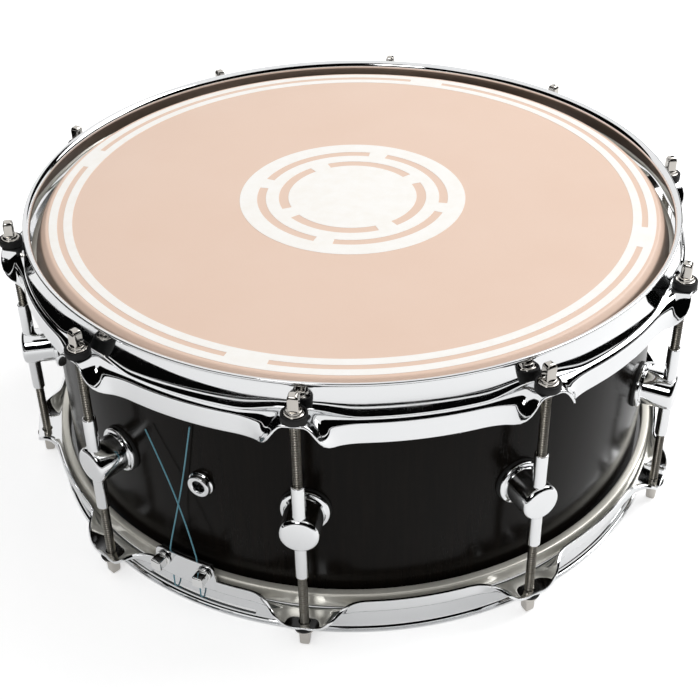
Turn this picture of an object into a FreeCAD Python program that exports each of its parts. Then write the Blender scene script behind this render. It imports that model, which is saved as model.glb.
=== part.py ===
import FreeCAD, Part
import math
import os
from types import SimpleNamespace

import Sketcher

# A 14 by 6 inch snare drum with ten tube lugs, in millimetres.
# The origin is the centre of the lower hoop's lip, and +Z points up through the batter head.
# In a body's own frame X runs outwards from the drum's axis, Y round it and Z up.

# Driving sizes: lengths in millimetres, angles in degrees, counts and shares as plain numbers.
SIZES = {
    # Shell and the levels that follow from it.
    "shell_radius": 177.0,
    "shell_wall": 6.0,
    "shell_depth": 152.4,
    "edge_bevel": 3.0,
    "lip_stand": 6.4,
    # Heads.
    "film_thickness": 0.35,
    "snare_film_thickness": 0.2,
    "film_bend_share": 0.41,
    "flesh_gap": 2.2,
    "collar_inset": 1.4,
    "flesh_width": 5.0,
    "flesh_height": 9.0,
    "flesh_groove": 3.0,
    # Edge ring and centre dot, laid on the batter film.
    "print_thickness": 0.15,
    "print_slot_count": 4,
    "ring_margin": 3.5,
    "ring_width": 14.0,
    "ring_slot_width": 4.0,
    "ring_bridge_angle": 7.5,
    "ring_turn_angle": 72.0,
    "dot_radius": 65.0,
    "dot_outer_slot_inset": 10.0,
    "dot_outer_slot_width": 5.0,
    "dot_outer_bridge_angle": 11.5,
    "dot_outer_turn_angle": 73.0,
    "dot_slot_spacing": 7.5,
    "dot_inner_slot_width": 5.5,
    "dot_inner_bridge_angle": 15.5,
    "dot_inner_turn_angle": 28.0,
    # Counterhoops.
    "hoop_sheet": 2.0,
    "hoop_wall_inset": 2.4,
    "hoop_lip_width": 4.2,
    "hoop_skirt_gap": 2.1,
    "batter_ledge_depth": 17.2,
    "batter_skirt_depth": 32.2,
    "snare_ledge_depth": 15.0,
    "snare_skirt_depth": 25.0,
    "lip_round": 0.9,
    "bend_round": 1.4,
    "ear_margin": 7.0,
    "ear_tip_half": 10.0,
    "ear_root_half": 15.0,
    "ear_corner": 6.0,
    "notch_low_half": 27.0,
    "notch_high_half": 13.0,
    "notch_round": 5.0,
    "notch_lead": 8.0,
    "ear_hole": 6.4,
    # Lugs.
    "lug_count": 10,
    "lug_start_angle": 10.0,
    "lug_drop": 3.0,
    "rod_offset": 5.7,
    "tube_diameter": 7.0,
    "tube_length": 60.0,
    "tube_chamfer": 0.5,
    "post_diameter": 20.4,
    "post_nose": 4.6,
    "post_round": 1.2,
    "flange_diameter": 25.4,
    "flange_thickness": 2.6,
    "gasket_thickness": 1.0,
    "gasket_margin": 0.4,
    "lug_screw_diameter": 5.0,
    "lug_screw_reach": 8.0,
    "lug_screw_head": 9.0,
    "lug_screw_head_height": 4.0,
    "lug_washer_diameter": 14.0,
    "lug_washer_thickness": 1.2,
    "seat_gap": 0.2,
    "screw_clearance": 0.25,
    # Tension rods and their washers.
    "rod_diameter": 5.0,
    "batter_rod_bite": 17.5,
    "snare_rod_bite": 23.5,
    "rod_fit": 0.05,
    "rod_point": 0.8,
    "rod_tip_inset": 0.8,
    "head_square": 6.3,
    "head_chamfer": 1.2,
    "head_collar": 10.4,
    "head_collar_height": 2.4,
    "batter_washer": 13.0,
    "batter_washer_height": 4.0,
    "snare_washer": 12.0,
    "washer_round": 0.6,
    "washer_clearance": 0.3,
    "turning_gap": 0.1,
    # Vent.
    "vent_angle": 244.0,
    "vent_hole": 7.0,
    "vent_barrel": 9.4,
    "vent_rim": 13.4,
    "vent_stand": 4.4,
    "vent_round": 1.4,
    "vent_nut": 15.0,
    "vent_nut_height": 3.0,
    # Snare clamp on the lower hoop.
    "butt_angle": 241.0,
    "tab_angle": 10.8,
    "tab_rise": 10.0,
    "tab_corner": 5.0,
    "butt_screw_drop": 6.0,
    "butt_screw_spread_angle": 7.8,
    "butt_screw_diameter": 4.0,
    "butt_screw_reach": 3.0,
    "butt_head_collar": 9.0,
    "butt_head_collar_height": 1.4,
    "butt_head_height": 6.0,
    "bar_angle": 10.6,
    "bar_thickness": 3.0,
    "bar_drop": 0.3,
    "bar_height": 8.2,
    "gate_half": 33.5,
    "gate_height": 3.2,
    "gate_shift_angle": 1.5,
    "slot_half": 12.0,
    # Snare wires and their cords.
    "cord_diameter": 0.8,
    "cord_clearance": 0.05,
    "cord_half_spread": 7.5,
    "cord_bend": 2.5,
    "cord_exit_stand": 0.6,
    "cord_exit_run": 3.2,
    "wire_count": 20,
    "wire_diameter": 1.8,
    "wire_pitch": 2.2,
    "wire_gap": 0.1,
    "wire_margin": 27.0,
    "end_plate_length": 12.0,
    "end_plate_margin": 1.2,
    # Strainer, opposite the clamp.
    "strainer_angle": 61.0,
    "base_bottom": 50.0,
    "base_height": 54.0,
    "base_half": 17.0,
    "base_plate": 4.0,
    "cheek_thickness": 5.0,
    "cheek_reach": 12.0,
    "slide_gap": 0.2,
    "slider_depth": 10.0,
    "slider_inset": 4.0,
    "slider_height": 22.0,
    "foot_drop": 16.0,
    "foot_thickness": 4.0,
    "clamp_plate_thickness": 3.0,
    "clamp_plate_height": 10.0,
    "clamp_screw_diameter": 3.0,
    "clamp_screw_half_spread": 3.6,
    "clamp_screw_head": 6.0,
    "clamp_screw_head_height": 2.0,
    "knob_diameter": 11.0,
    "knob_height": 9.0,
    "knob_rise": 5.0,
    "knob_gap": 0.5,
    "knob_stem": 4.0,
    "pin_diameter": 4.0,
    "pin_inset": 9.0,
    "pin_offset": 12.5,
    "pin_head": 7.0,
    "pin_head_height": 1.5,
    "lever_arm": 3.0,
    "lever_width": 9.0,
    "lever_drop": 44.0,
    "lever_plate": 3.0,
    "lever_plate_height": 21.0,
    "lever_gap": 0.3,
    "base_screw_diameter": 4.0,
    "base_screw_head": 8.0,
    "base_screw_head_height": 3.0,
    "base_screw_bite": 3.0,
    "base_screw_inset": 9.0,
    # One overrun serves every cut.
    "overrun": 2.0,
}

FULL_TURN = 360
ARC_SHARE = 0.45
# The free cord ends past the clamp: each point's distance from the shell, its place round it and its level.
FREE_CORD_LEFT = ((4.9, -4.5, 57.0), (2.6, 0.6, 86.0), (1.6, 6.6, 119.0))
FREE_CORD_RIGHT = ((7.0, -0.9, 59.0), (4.2, -11.2, 83.0), (1.8, -21.6, 107.0))

doc = FreeCAD.newDocument("SnareDrum")
sheet = doc.addObject("Spreadsheet::Sheet", "Sizes")


class Size:
    """A length, angle or count: the expression that the document works out, and its present value."""

    def __init__(self, text, value):
        self.text = text
        self.value = value

    def _join(self, sign, other, value):
        return Size(f"({self.text} {sign} {other.text})", value)

    def __add__(self, other):
        other = as_size(other)
        return self._join("+", other, self.value + other.value)

    def __sub__(self, other):
        other = as_size(other)
        return self._join("-", other, self.value - other.value)

    def __mul__(self, other):
        other = as_size(other)
        return self._join("*", other, self.value * other.value)

    def __truediv__(self, other):
        other = as_size(other)
        return self._join("/", other, self.value / other.value)

    def __neg__(self):
        return Size(f"(0 - {self.text})", -self.value)


def as_size(item):
    """Gives a plain number the form of a Size."""
    if isinstance(item, Size):
        return item
    return Size(repr(item), item)


def fill_sheet():
    """Writes the driving sizes into the spreadsheet and returns one Size for each."""
    for row, (name, value) in enumerate(SIZES.items(), start=1):
        sheet.set(f"A{row}", name)
        sheet.set(f"B{row}", str(value))
        sheet.setAlias(f"B{row}", name)
    doc.recompute()
    return SimpleNamespace(**{name: Size(f"Sizes.{name}", value) for name, value in SIZES.items()})


s = fill_sheet()
ZERO = as_size(0)

# Radii that follow from the shell outwards: flesh hoops, counterhoops, rods and lugs.
s.flesh_inner_radius = s.shell_radius + s.flesh_gap
s.collar_radius = s.flesh_inner_radius + s.collar_inset
s.hoop_wall_radius = s.flesh_inner_radius + s.hoop_wall_inset
s.hoop_lip_radius = s.hoop_wall_radius + s.hoop_lip_width
s.hoop_skirt_radius = s.flesh_inner_radius + s.flesh_width + s.hoop_skirt_gap + s.hoop_sheet
s.rod_circle = s.hoop_skirt_radius + s.rod_offset
s.ear_radius = s.rod_circle + s.ear_margin
s.post_face_radius = s.rod_circle + s.post_nose

# Radii that follow from the bearing edge inwards: edge ring, centre dot and snare wires.
s.crest_radius = s.shell_radius - s.edge_bevel
s.ring_outer_radius = s.crest_radius - s.ring_margin
s.ring_inner_radius = s.ring_outer_radius - s.ring_width
s.ring_slot_inner_radius = s.ring_inner_radius + (s.ring_width - s.ring_slot_width) / 2
s.ring_slot_outer_radius = s.ring_slot_inner_radius + s.ring_slot_width
s.dot_outer_slot_radius = s.dot_radius - s.dot_outer_slot_inset
s.dot_inner_slot_radius = s.dot_outer_slot_radius - s.dot_outer_slot_width - s.dot_slot_spacing
s.wire_half_length = s.shell_radius - s.wire_margin

# Levels of the snare clamp, the snares and the strainer.
s.tab_top = s.snare_skirt_depth + s.tab_rise
s.butt_screw_level = s.tab_top - s.butt_screw_drop
s.bar_top = s.tab_top - s.bar_drop
s.bar_bottom = s.bar_top - s.bar_height
s.cord_level = s.lip_stand - s.snare_film_thickness - s.wire_gap - s.wire_diameter / 2
s.gate_bottom = s.cord_level - s.gate_height / 2
s.gate_top = s.cord_level + s.gate_height / 2
s.base_top = s.base_bottom + s.base_height
s.slider_bottom = s.base_bottom + s.slider_inset
s.slider_top = s.slider_bottom + s.slider_height
s.foot_bottom = s.slider_bottom - s.foot_drop
s.knob_level = s.slider_top + s.knob_rise
s.pin_level = s.base_top - s.pin_inset

# Levels that several pieces share.
SHELL_BOTTOM = s.lip_stand
SHELL_TOP = s.lip_stand + s.shell_depth
LIP_TOP = SHELL_TOP + s.lip_stand
LUG_LEVEL = LIP_TOP / 2 - s.lug_drop
SHELL_INSIDE = s.shell_radius - s.shell_wall
FLESH_OUTER = s.flesh_inner_radius + s.flesh_width
SKIRT_INSIDE = s.hoop_skirt_radius - s.hoop_sheet
BATTER_PAD = LIP_TOP - s.batter_ledge_depth
SNARE_PAD = s.snare_ledge_depth
BATTER_FLESH_SEAT = BATTER_PAD - s.hoop_sheet
SNARE_FLESH_SEAT = SNARE_PAD + s.hoop_sheet
SNARE_FILM_FACE = SHELL_BOTTOM - s.snare_film_thickness
POST_BACK = s.shell_radius + s.gasket_thickness
SLIDER_BACK = s.shell_radius + s.base_plate + s.slide_gap
CHEEK_INSIDE = s.base_half - s.cheek_thickness
CORD_RISE = (FLESH_OUTER + SKIRT_INSIDE) / 2
CORD_CLAMPED = SKIRT_INSIDE - s.cord_diameter / 2 - s.cord_clearance
END_PLATE_REACH = s.wire_half_length + s.end_plate_length


def new_body(label, turn=None):
    """Starts a body that is turned round the drum's axis."""
    body = doc.addObject("PartDesign::Body", label)
    body.Label = label
    body.AllowCompound = True
    if turn is not None:
        body.Placement.Rotation = FreeCAD.Rotation(FreeCAD.Vector(0, 0, 1), turn.value)
        body.setExpression("Placement.Rotation.Angle", turn.text)
    return body


def origin_part(body, role):
    """Finds a plane or an axis of a body's own origin."""
    return next(feature for feature in body.Origin.OriginFeatures if feature.Role == role)


def sketch_on(body, role, name, shift=(None, None, None), turn=None):
    """Attaches a sketch to an origin plane, shifted in the plane's frame and turned round the drum's axis."""
    sketch = body.newObject("Sketcher::SketchObject", f"{body.Label}_{name}")
    sketch.AttachmentSupport = [(origin_part(body, role), "")]
    sketch.MapMode = "FlatFace"
    base = FreeCAD.Vector(*(0 if part is None else part.value for part in shift))
    axis = FreeCAD.Vector(0, 0, 1) if role == "XY_Plane" else FreeCAD.Vector(0, 1, 0)
    rotation = FreeCAD.Rotation(axis, 0 if turn is None else turn.value)
    sketch.AttachmentOffset = FreeCAD.Placement(base, rotation)
    for letter, part in zip("xyz", shift):
        if part is not None:
            sketch.setExpression(f"AttachmentOffset.Base.{letter}", part.text)
    if turn is not None:
        sketch.setExpression("AttachmentOffset.Rotation.Angle", turn.text)
    return sketch


def bind(sketch, constraint, size):
    """Adds a constraint whose value follows a size."""
    index = sketch.addConstraint(constraint)
    sketch.setExpression(f"Constraints[{index}]", size.text)


def pin_point(sketch, geometry, end, x, y):
    """Ties a point of a sketch to two sizes."""
    bind(sketch, Sketcher.Constraint("DistanceX", geometry, end, x.value), x)
    bind(sketch, Sketcher.Constraint("DistanceY", geometry, end, y.value), y)


def vector(x, y):
    """A sketch point from two sizes."""
    return FreeCAD.Vector(x.value, y.value, 0)


def rounded_corner(before, corner, after, radius):
    """Works out where an arc of a radius leaves the two lines that meet in a corner."""
    back = (before - corner).normalize()
    ahead = (after - corner).normalize()
    half = back.getAngle(ahead) / 2
    reach = radius / math.tan(half)
    centre = corner + (back + ahead).normalize() * (radius / math.sin(half))
    middle = centre + (corner - centre).normalize() * radius
    return corner + back * reach, middle, corner + ahead * reach


def outline(sketch, corners):
    """Draws a closed outline of straight lines, with an arc at each corner that has a radius.

    Each corner is (x, y) or (x, y, radius), all of them sizes.
    """
    places = [vector(corner[0], corner[1]) for corner in corners]
    count = len(corners)
    leave = []
    arrive = []
    arcs = {}
    for index, corner in enumerate(corners):
        place = places[index]
        if len(corner) < 3:
            arrive.append(place)
            leave.append(place)
            continue
        after = places[(index + 1) % count]
        start, middle, end = rounded_corner(places[index - 1], place, after, corner[2].value)
        arrive.append(start)
        leave.append(end)
        left_turn = (place - start).cross(end - place).z > 0
        arcs[index] = Part.Arc(start, middle, end) if left_turn else Part.Arc(end, middle, start)
    lines = [
        sketch.addGeometry(Part.LineSegment(leave[index], arrive[(index + 1) % count]), False)
        for index in range(count)
    ]
    for index, corner in enumerate(corners):
        line_in = lines[index - 1]
        line_out = lines[index]
        if index not in arcs:
            sketch.addConstraint(Sketcher.Constraint("Coincident", line_in, 2, line_out, 1))
            pin_point(sketch, line_out, 1, corner[0], corner[1])
            continue
        arc = sketch.addGeometry(arcs[index], False)
        point = sketch.addGeometry(Part.Point(places[index]), True)
        pin_point(sketch, point, 1, corner[0], corner[1])
        sketch.addConstraint(Sketcher.Constraint("PointOnObject", point, 1, line_in))
        sketch.addConstraint(Sketcher.Constraint("PointOnObject", point, 1, line_out))
        first, last = arc_ends(sketch.Geometry[arc], arrive[index])
        sketch.addConstraint(Sketcher.Constraint("Tangent", line_in, 2, arc, first))
        sketch.addConstraint(Sketcher.Constraint("Tangent", line_out, 1, arc, last))
        bind(sketch, Sketcher.Constraint("Radius", arc, corner[2].value), corner[2])
    return sketch


def arc_ends(arc, start):
    """Tells which end of an arc lies at a point: arcs in a sketch always run one way round."""
    near_first = arc.StartPoint.sub(start).Length < arc.EndPoint.sub(start).Length
    return (1, 2) if near_first else (2, 1)


def circle(sketch, x, y, diameter):
    """Draws a circle whose centre and diameter follow sizes."""
    radius = diameter / 2
    index = sketch.addGeometry(Part.Circle(vector(x, y), FreeCAD.Vector(0, 0, 1), radius.value), False)
    pin_point(sketch, index, 3, x, y)
    bind(sketch, Sketcher.Constraint("Radius", index, radius.value), radius)
    return sketch


def rectangle(sketch, left, bottom, right, top):
    """Draws a rectangle between four sizes."""
    return outline(sketch, [(left, bottom), (right, bottom), (right, top), (left, top)])


def arc_slot(sketch, inner, outer, half_angle):
    """Draws a slot that follows a circle round the sketch's origin, centred on its X axis."""
    half = math.radians(half_angle.value)
    origin = FreeCAD.Vector()
    up = FreeCAD.Vector(0, 0, 1)
    arcs = [
        sketch.addGeometry(Part.ArcOfCircle(Part.Circle(origin, up, radius.value), -half, half), False)
        for radius in (inner, outer)
    ]
    ends = []
    for end, sign in ((1, -1), (2, 1)):
        direction = FreeCAD.Vector(math.cos(half), sign * math.sin(half), 0)
        line = sketch.addGeometry(Part.LineSegment(direction * inner.value, direction * outer.value), False)
        sketch.addConstraint(Sketcher.Constraint("Coincident", line, 1, arcs[0], end))
        sketch.addConstraint(Sketcher.Constraint("Coincident", line, 2, arcs[1], end))
        sketch.addConstraint(Sketcher.Constraint("PointOnObject", -1, 1, line))
        ends.append(line)
    for arc, radius in zip(arcs, (inner, outer)):
        sketch.addConstraint(Sketcher.Constraint("Coincident", arc, 3, -1, 1))
        bind(sketch, Sketcher.Constraint("Radius", arc, radius.value), radius)
    sketch.addConstraint(Sketcher.Constraint("Symmetric", arcs[0], 1, arcs[0], 2, -1))
    bind(sketch, Sketcher.Constraint("Angle", ends[0], 1, ends[1], 1, 2 * half), half_angle * 2)
    return sketch


def revolve(body, sketch, axis="V_Axis", angle=None):
    """Turns a profile round one of its sketch's axes."""
    feature = body.newObject("PartDesign::Revolution", f"{sketch.Name}_turned")
    feature.Profile = sketch
    feature.ReferenceAxis = (sketch, [axis])
    feature.Angle = FULL_TURN if angle is None else angle.value
    if angle is not None:
        feature.setExpression("Angle", angle.text)
    sketch.Visibility = False
    body.Tip = feature
    return feature


def groove(body, sketch, axis="V_Axis"):
    """Cuts a full turn of a profile away."""
    feature = body.newObject("PartDesign::Groove", f"{sketch.Name}_cut")
    feature.Profile = sketch
    feature.ReferenceAxis = (sketch, [axis])
    feature.Angle = FULL_TURN
    body.Tip = feature
    return feature


def pad(body, sketch, length, back=False):
    """Raises a profile along its sketch's normal, or against it."""
    feature = body.newObject("PartDesign::Pad", f"{sketch.Name}_raised")
    feature.Profile = sketch
    feature.Length = length.value
    feature.setExpression("Length", length.text)
    feature.Reversed = back
    body.Tip = feature
    return feature


def pocket(body, sketch, ahead=True):
    """Cuts a profile right through, along its sketch's normal, or against it."""
    feature = body.newObject("PartDesign::Pocket", f"{sketch.Name}_through")
    feature.Profile = sketch
    feature.Type = "ThroughAll"
    feature.Reversed = ahead
    body.Tip = feature
    cuts.append(feature)
    return feature


def polar(body, features, count, angle=None):
    """Repeats features round the drum's axis."""
    pattern = body.newObject("PartDesign::PolarPattern", f"{features[0].Name}_round")
    pattern.Originals = features
    pattern.Axis = (origin_part(body, "Z_Axis"), [""])
    pattern.Angle = FULL_TURN if angle is None else angle.value
    if angle is not None:
        pattern.setExpression("Angle", angle.text)
    pattern.Occurrences = int(count.value)
    pattern.setExpression("Occurrences", count.text)
    body.Tip = pattern
    return pattern


def round_edges(body, base, radius, test):
    """Rounds the edges of a feature that pass a test."""
    doc.recompute()
    names = [f"Edge{index}" for index, edge in enumerate(base.Shape.Edges, start=1) if test(edge)]
    feature = body.newObject("PartDesign::Fillet", f"{base.Name}_eased")
    feature.Base = (base, names)
    feature.Radius = radius.value
    feature.setExpression("Radius", radius.text)
    body.Tip = feature
    return feature


def bevel_edges(body, base, size, test):
    """Bevels the edges of a feature that pass a test."""
    doc.recompute()
    names = [f"Edge{index}" for index, edge in enumerate(base.Shape.Edges, start=1) if test(edge)]
    feature = body.newObject("PartDesign::Chamfer", f"{base.Name}_bevelled")
    feature.Base = (base, names)
    feature.Size = size.value
    feature.setExpression("Size", size.text)
    body.Tip = feature
    return feature


def is_ring(edge, radius, level=None, axis=None):
    """Tells whether an edge is a full circle of a radius, at a level along Z or along another axis."""
    curve = edge.Curve
    if not isinstance(curve, Part.Circle) or not edge.isClosed():
        return False
    same = math.isclose(curve.Radius, radius.value, rel_tol=1e-6)
    if level is None:
        return same
    place = curve.Center.z if axis is None else curve.Center.x
    return same and math.isclose(place, level.value, rel_tol=1e-6, abs_tol=1e-6)


def away(level, distance, side):
    """A level that lies a distance further out: up for the batter side, down for the snare side."""
    return level + distance if side > 0 else level - distance


cuts = []
BATTER = 1
SNARE = -1


def make_shell():
    """The wooden shell, with bevelled edges and holes for lugs, vent and strainer."""
    body = new_body("shell", s.lug_start_angle)
    inner = s.shell_wall - s.edge_bevel
    profile = outline(sketch_on(body, "XZ_Plane", "profile"), [
        (SHELL_INSIDE, SHELL_BOTTOM + inner), (s.crest_radius, SHELL_BOTTOM),
        (s.shell_radius, SHELL_BOTTOM + s.edge_bevel), (s.shell_radius, SHELL_TOP - s.edge_bevel),
        (s.crest_radius, SHELL_TOP), (SHELL_INSIDE, SHELL_TOP - inner)])
    revolve(body, profile)
    lug_hole = s.lug_screw_diameter + s.screw_clearance * 2
    hole = pocket(body, circle(sketch_on(body, "YZ_Plane", "lug_hole"), ZERO, LUG_LEVEL, lug_hole))
    polar(body, [hole], s.lug_count)
    vent_turn = s.vent_angle - s.lug_start_angle
    vent = sketch_on(body, "YZ_Plane", "vent_hole", turn=vent_turn)
    pocket(body, circle(vent, ZERO, LIP_TOP / 2, s.vent_barrel))
    strainer = sketch_on(body, "YZ_Plane", "strainer_holes", turn=s.strainer_angle - s.lug_start_angle)
    for level in base_screw_levels():
        circle(strainer, ZERO, level, s.base_screw_diameter + s.screw_clearance * 2)
    pocket(body, strainer)
    return body


def base_screw_levels():
    """The levels of the strainer's two screws."""
    return s.base_bottom + s.base_screw_inset, s.base_top - s.base_screw_inset


def make_film(label, edge, seat, thickness, side):
    """A head's film: flat across, over the bearing edge and down into its flesh hoop."""
    body = new_body(label)
    bend = s.film_bend_share * thickness
    corner = away(edge, s.edge_bevel, -side)
    foot = away(seat, s.flesh_groove, -side)
    profile = outline(sketch_on(body, "XZ_Plane", "profile"), [
        (ZERO, edge), (s.crest_radius, edge), (s.shell_radius, corner), (s.collar_radius, seat),
        (s.collar_radius, foot),
        (s.collar_radius + thickness, foot), (s.collar_radius + thickness, seat),
        (s.shell_radius + thickness, away(corner, bend, side)),
        (s.crest_radius + bend, away(edge, thickness, side)), (ZERO, away(edge, thickness, side))])
    revolve(body, profile)
    return body


def make_flesh_hoop(label, seat, thickness, side):
    """The metal ring that holds a film's edge in a groove."""
    body = new_body(label)
    foot = away(seat, s.flesh_height, -side)
    groove_foot = away(seat, s.flesh_groove, -side)
    groove_outer = s.collar_radius + thickness
    profile = outline(sketch_on(body, "XZ_Plane", "profile"), [
        (s.flesh_inner_radius, foot), (FLESH_OUTER, foot), (FLESH_OUTER, seat), (groove_outer, seat),
        (groove_outer, groove_foot), (s.collar_radius, groove_foot), (s.collar_radius, seat),
        (s.flesh_inner_radius, seat)])
    revolve(body, profile)
    return body


def slots(body, inner, outer, bridge, turn, name, level):
    """Cuts a ring of arc slots through a printed layer."""
    half = (as_size(FULL_TURN) / s.print_slot_count - bridge) / 2
    sketch = sketch_on(body, "XY_Plane", name, (None, None, level), turn)
    cut = pocket(body, arc_slot(sketch, inner, outer, half))
    polar(body, [cut], s.print_slot_count)


def slot_turn(bridge_turn):
    """The middle of a slot, half a slot's step past a bridge."""
    return bridge_turn + as_size(FULL_TURN) / s.print_slot_count / 2


def make_control_ring():
    """The pale ring near the film's edge, with four long slots."""
    body = new_body("control_ring")
    level = SHELL_TOP + s.film_thickness
    sketch = sketch_on(body, "XY_Plane", "disc", (None, None, level))
    circle(sketch, ZERO, ZERO, s.ring_outer_radius * 2)
    circle(sketch, ZERO, ZERO, s.ring_inner_radius * 2)
    pad(body, sketch, s.print_thickness)
    slots(body, s.ring_slot_inner_radius, s.ring_slot_outer_radius, s.ring_bridge_angle,
          slot_turn(s.ring_turn_angle), "slot", level)
    return body


def make_centre_dot():
    """The pale dot in the middle of the film, with two rings of slots."""
    body = new_body("centre_dot")
    level = SHELL_TOP + s.film_thickness
    pad(body, circle(sketch_on(body, "XY_Plane", "disc", (None, None, level)), ZERO, ZERO, s.dot_radius * 2),
        s.print_thickness)
    slots(body, s.dot_outer_slot_radius - s.dot_outer_slot_width, s.dot_outer_slot_radius,
          s.dot_outer_bridge_angle, slot_turn(s.dot_outer_turn_angle), "outer_slot", level)
    slots(body, s.dot_inner_slot_radius - s.dot_inner_slot_width, s.dot_inner_slot_radius,
          s.dot_inner_bridge_angle, slot_turn(s.dot_inner_turn_angle), "inner_slot", level)
    return body


def make_hoop(label, lip, ledge_depth, skirt_depth, side):
    """A pressed counterhoop: lip, wall, ledge and skirt, with an ear for each rod."""
    body = new_body(label, s.lug_start_angle)
    sheet_in = away(lip, s.hoop_sheet, -side)
    ledge = away(lip, ledge_depth, -side)
    under = away(ledge, s.hoop_sheet, -side)
    skirt = away(lip, skirt_depth, -side)
    wall_outer = s.hoop_wall_radius + s.hoop_sheet
    profile = outline(sketch_on(body, "XZ_Plane", "profile"), [
        (s.hoop_wall_radius, lip), (s.hoop_lip_radius, lip), (s.hoop_lip_radius, sheet_in),
        (wall_outer, sheet_in), (wall_outer, ledge), (s.hoop_skirt_radius, ledge),
        (s.hoop_skirt_radius, skirt), (SKIRT_INSIDE, skirt), (SKIRT_INSIDE, under),
        (s.hoop_wall_radius, under)])
    ring = revolve(body, profile)
    ring = round_edges(body, ring, s.lip_round, lambda edge: is_ring(edge, s.hoop_lip_radius))
    ring = round_edges(body, ring, s.bend_round, lambda edge: is_ring(edge, s.hoop_wall_radius, lip)
                       or is_ring(edge, s.hoop_skirt_radius, ledge))
    far = s.notch_low_half + s.notch_lead
    beyond = away(skirt, s.overrun, -side)
    notch_sketch = outline(sketch_on(body, "YZ_Plane", "notch"), [
        (-far, skirt), (-s.notch_low_half, skirt, s.notch_round), (-s.notch_high_half, under, s.notch_round),
        (s.notch_high_half, under, s.notch_round), (s.notch_low_half, skirt, s.notch_round), (far, skirt),
        (far, beyond), (-far, beyond)])
    notch = pocket(body, notch_sketch)
    pad_level = under if side > 0 else ledge
    ear_sketch = outline(sketch_on(body, "XY_Plane", "ear", (None, None, pad_level)), [
        (SKIRT_INSIDE, -s.ear_root_half), (s.ear_radius, -s.ear_tip_half, s.ear_corner),
        (s.ear_radius, s.ear_tip_half, s.ear_corner), (SKIRT_INSIDE, s.ear_root_half)])
    ear = pad(body, ear_sketch, s.hoop_sheet)
    hole_sketch = circle(sketch_on(body, "XY_Plane", "ear_hole", (None, None, pad_level)),
                         s.rod_circle, ZERO, s.ear_hole)
    hole = pocket(body, hole_sketch)
    polar(body, [notch, ear, hole], s.lug_count)
    return body


def add_snare_gates(body):
    """Adds the clamp tab to the lower hoop, and the openings that the snare cords pass."""
    start = s.butt_angle - s.tab_angle / 2 - s.lug_start_angle
    tab_sketch = rectangle(sketch_on(body, "XZ_Plane", "tab", turn=start),
                           SKIRT_INSIDE, SNARE_PAD, s.hoop_skirt_radius, s.tab_top)
    tab = revolve(body, tab_sketch, angle=s.tab_angle)
    round_edges(body, tab, s.tab_corner, lambda edge: is_tab_corner(edge))
    screw_hole = s.butt_screw_diameter + s.screw_clearance * 2
    for name, turn in butt_screw_turns():
        turn = s.butt_angle - s.lug_start_angle + turn
        sketch = sketch_on(body, "YZ_Plane", f"{name}_screw_hole", turn=turn)
        pocket(body, circle(sketch, ZERO, s.butt_screw_level, screw_hole))
    for name, angle in (("butt", s.butt_angle), ("strainer", s.strainer_angle)):
        turn = angle - s.lug_start_angle
        gate = sketch_on(body, "YZ_Plane", f"{name}_gate", turn=turn + s.gate_shift_angle)
        pocket(body, rectangle(gate, -s.gate_half, s.gate_bottom, s.gate_half, s.gate_top))
        slot = sketch_on(body, "XY_Plane", f"{name}_slot", (None, None, SNARE_PAD), turn)
        pocket(body, rectangle(slot, FLESH_OUTER, -s.slot_half, SKIRT_INSIDE, s.slot_half))
    return body


def butt_screw_turns():
    """The clamp screws' places round the drum, counted from the clamp's middle."""
    return ("first", -s.butt_screw_spread_angle / 2), ("second", s.butt_screw_spread_angle / 2)


def is_tab_corner(edge):
    """Tells whether an edge is one of the tab's two upper corners, which run outwards."""
    ends = [vertex.Point for vertex in edge.Vertexes]
    if len(ends) < 2:
        return False
    level = all(math.isclose(end.z, s.tab_top.value, abs_tol=1e-6) for end in ends)
    return level and isinstance(edge.Curve, Part.Line)


def make_lug_posts():
    """Round posts on the shell, each with a foot flange and a bore for its tube."""
    body = new_body("lug_posts", s.lug_start_angle)
    flange_face = POST_BACK + s.flange_thickness
    profile = outline(sketch_on(body, "XZ_Plane", "profile", (None, LUG_LEVEL, None)), [
        (POST_BACK, ZERO), (s.post_face_radius, ZERO),
        (s.post_face_radius, s.post_diameter / 2, s.post_round),
        (flange_face, s.post_diameter / 2), (flange_face, s.flange_diameter / 2, s.post_round),
        (POST_BACK, s.flange_diameter / 2)])
    post = revolve(body, profile, "H_Axis")
    bore = pocket(body, circle(sketch_on(body, "XY_Plane", "tube_bore"), s.rod_circle, ZERO, s.tube_diameter))
    thread = sketch_on(body, "YZ_Plane", "screw_bore", (None, None, POST_BACK))
    screw = pocket(body, circle(thread, ZERO, LUG_LEVEL, s.lug_screw_diameter))
    screw.Type = "Length"
    screw.Length = s.lug_screw_reach.value
    screw.setExpression("Length", s.lug_screw_reach.text)
    polar(body, [post, bore, screw], s.lug_count)
    return body


def make_lug_tubes():
    """The tubes that the tension rods screw into from both ends."""
    body = new_body("lug_tubes", s.lug_start_angle)
    bottom = LUG_LEVEL - s.tube_length / 2
    bore = s.rod_diameter + s.rod_fit * 2
    sketch = sketch_on(body, "XY_Plane", "section", (None, None, bottom))
    circle(sketch, s.rod_circle, ZERO, s.tube_diameter)
    circle(sketch, s.rod_circle, ZERO, bore)
    tube = pad(body, sketch, s.tube_length)
    bevel = bevel_edges(body, tube, s.tube_chamfer, lambda edge: is_ring(edge, s.tube_diameter / 2))
    polar(body, [tube, bevel], s.lug_count)
    return body


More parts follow.
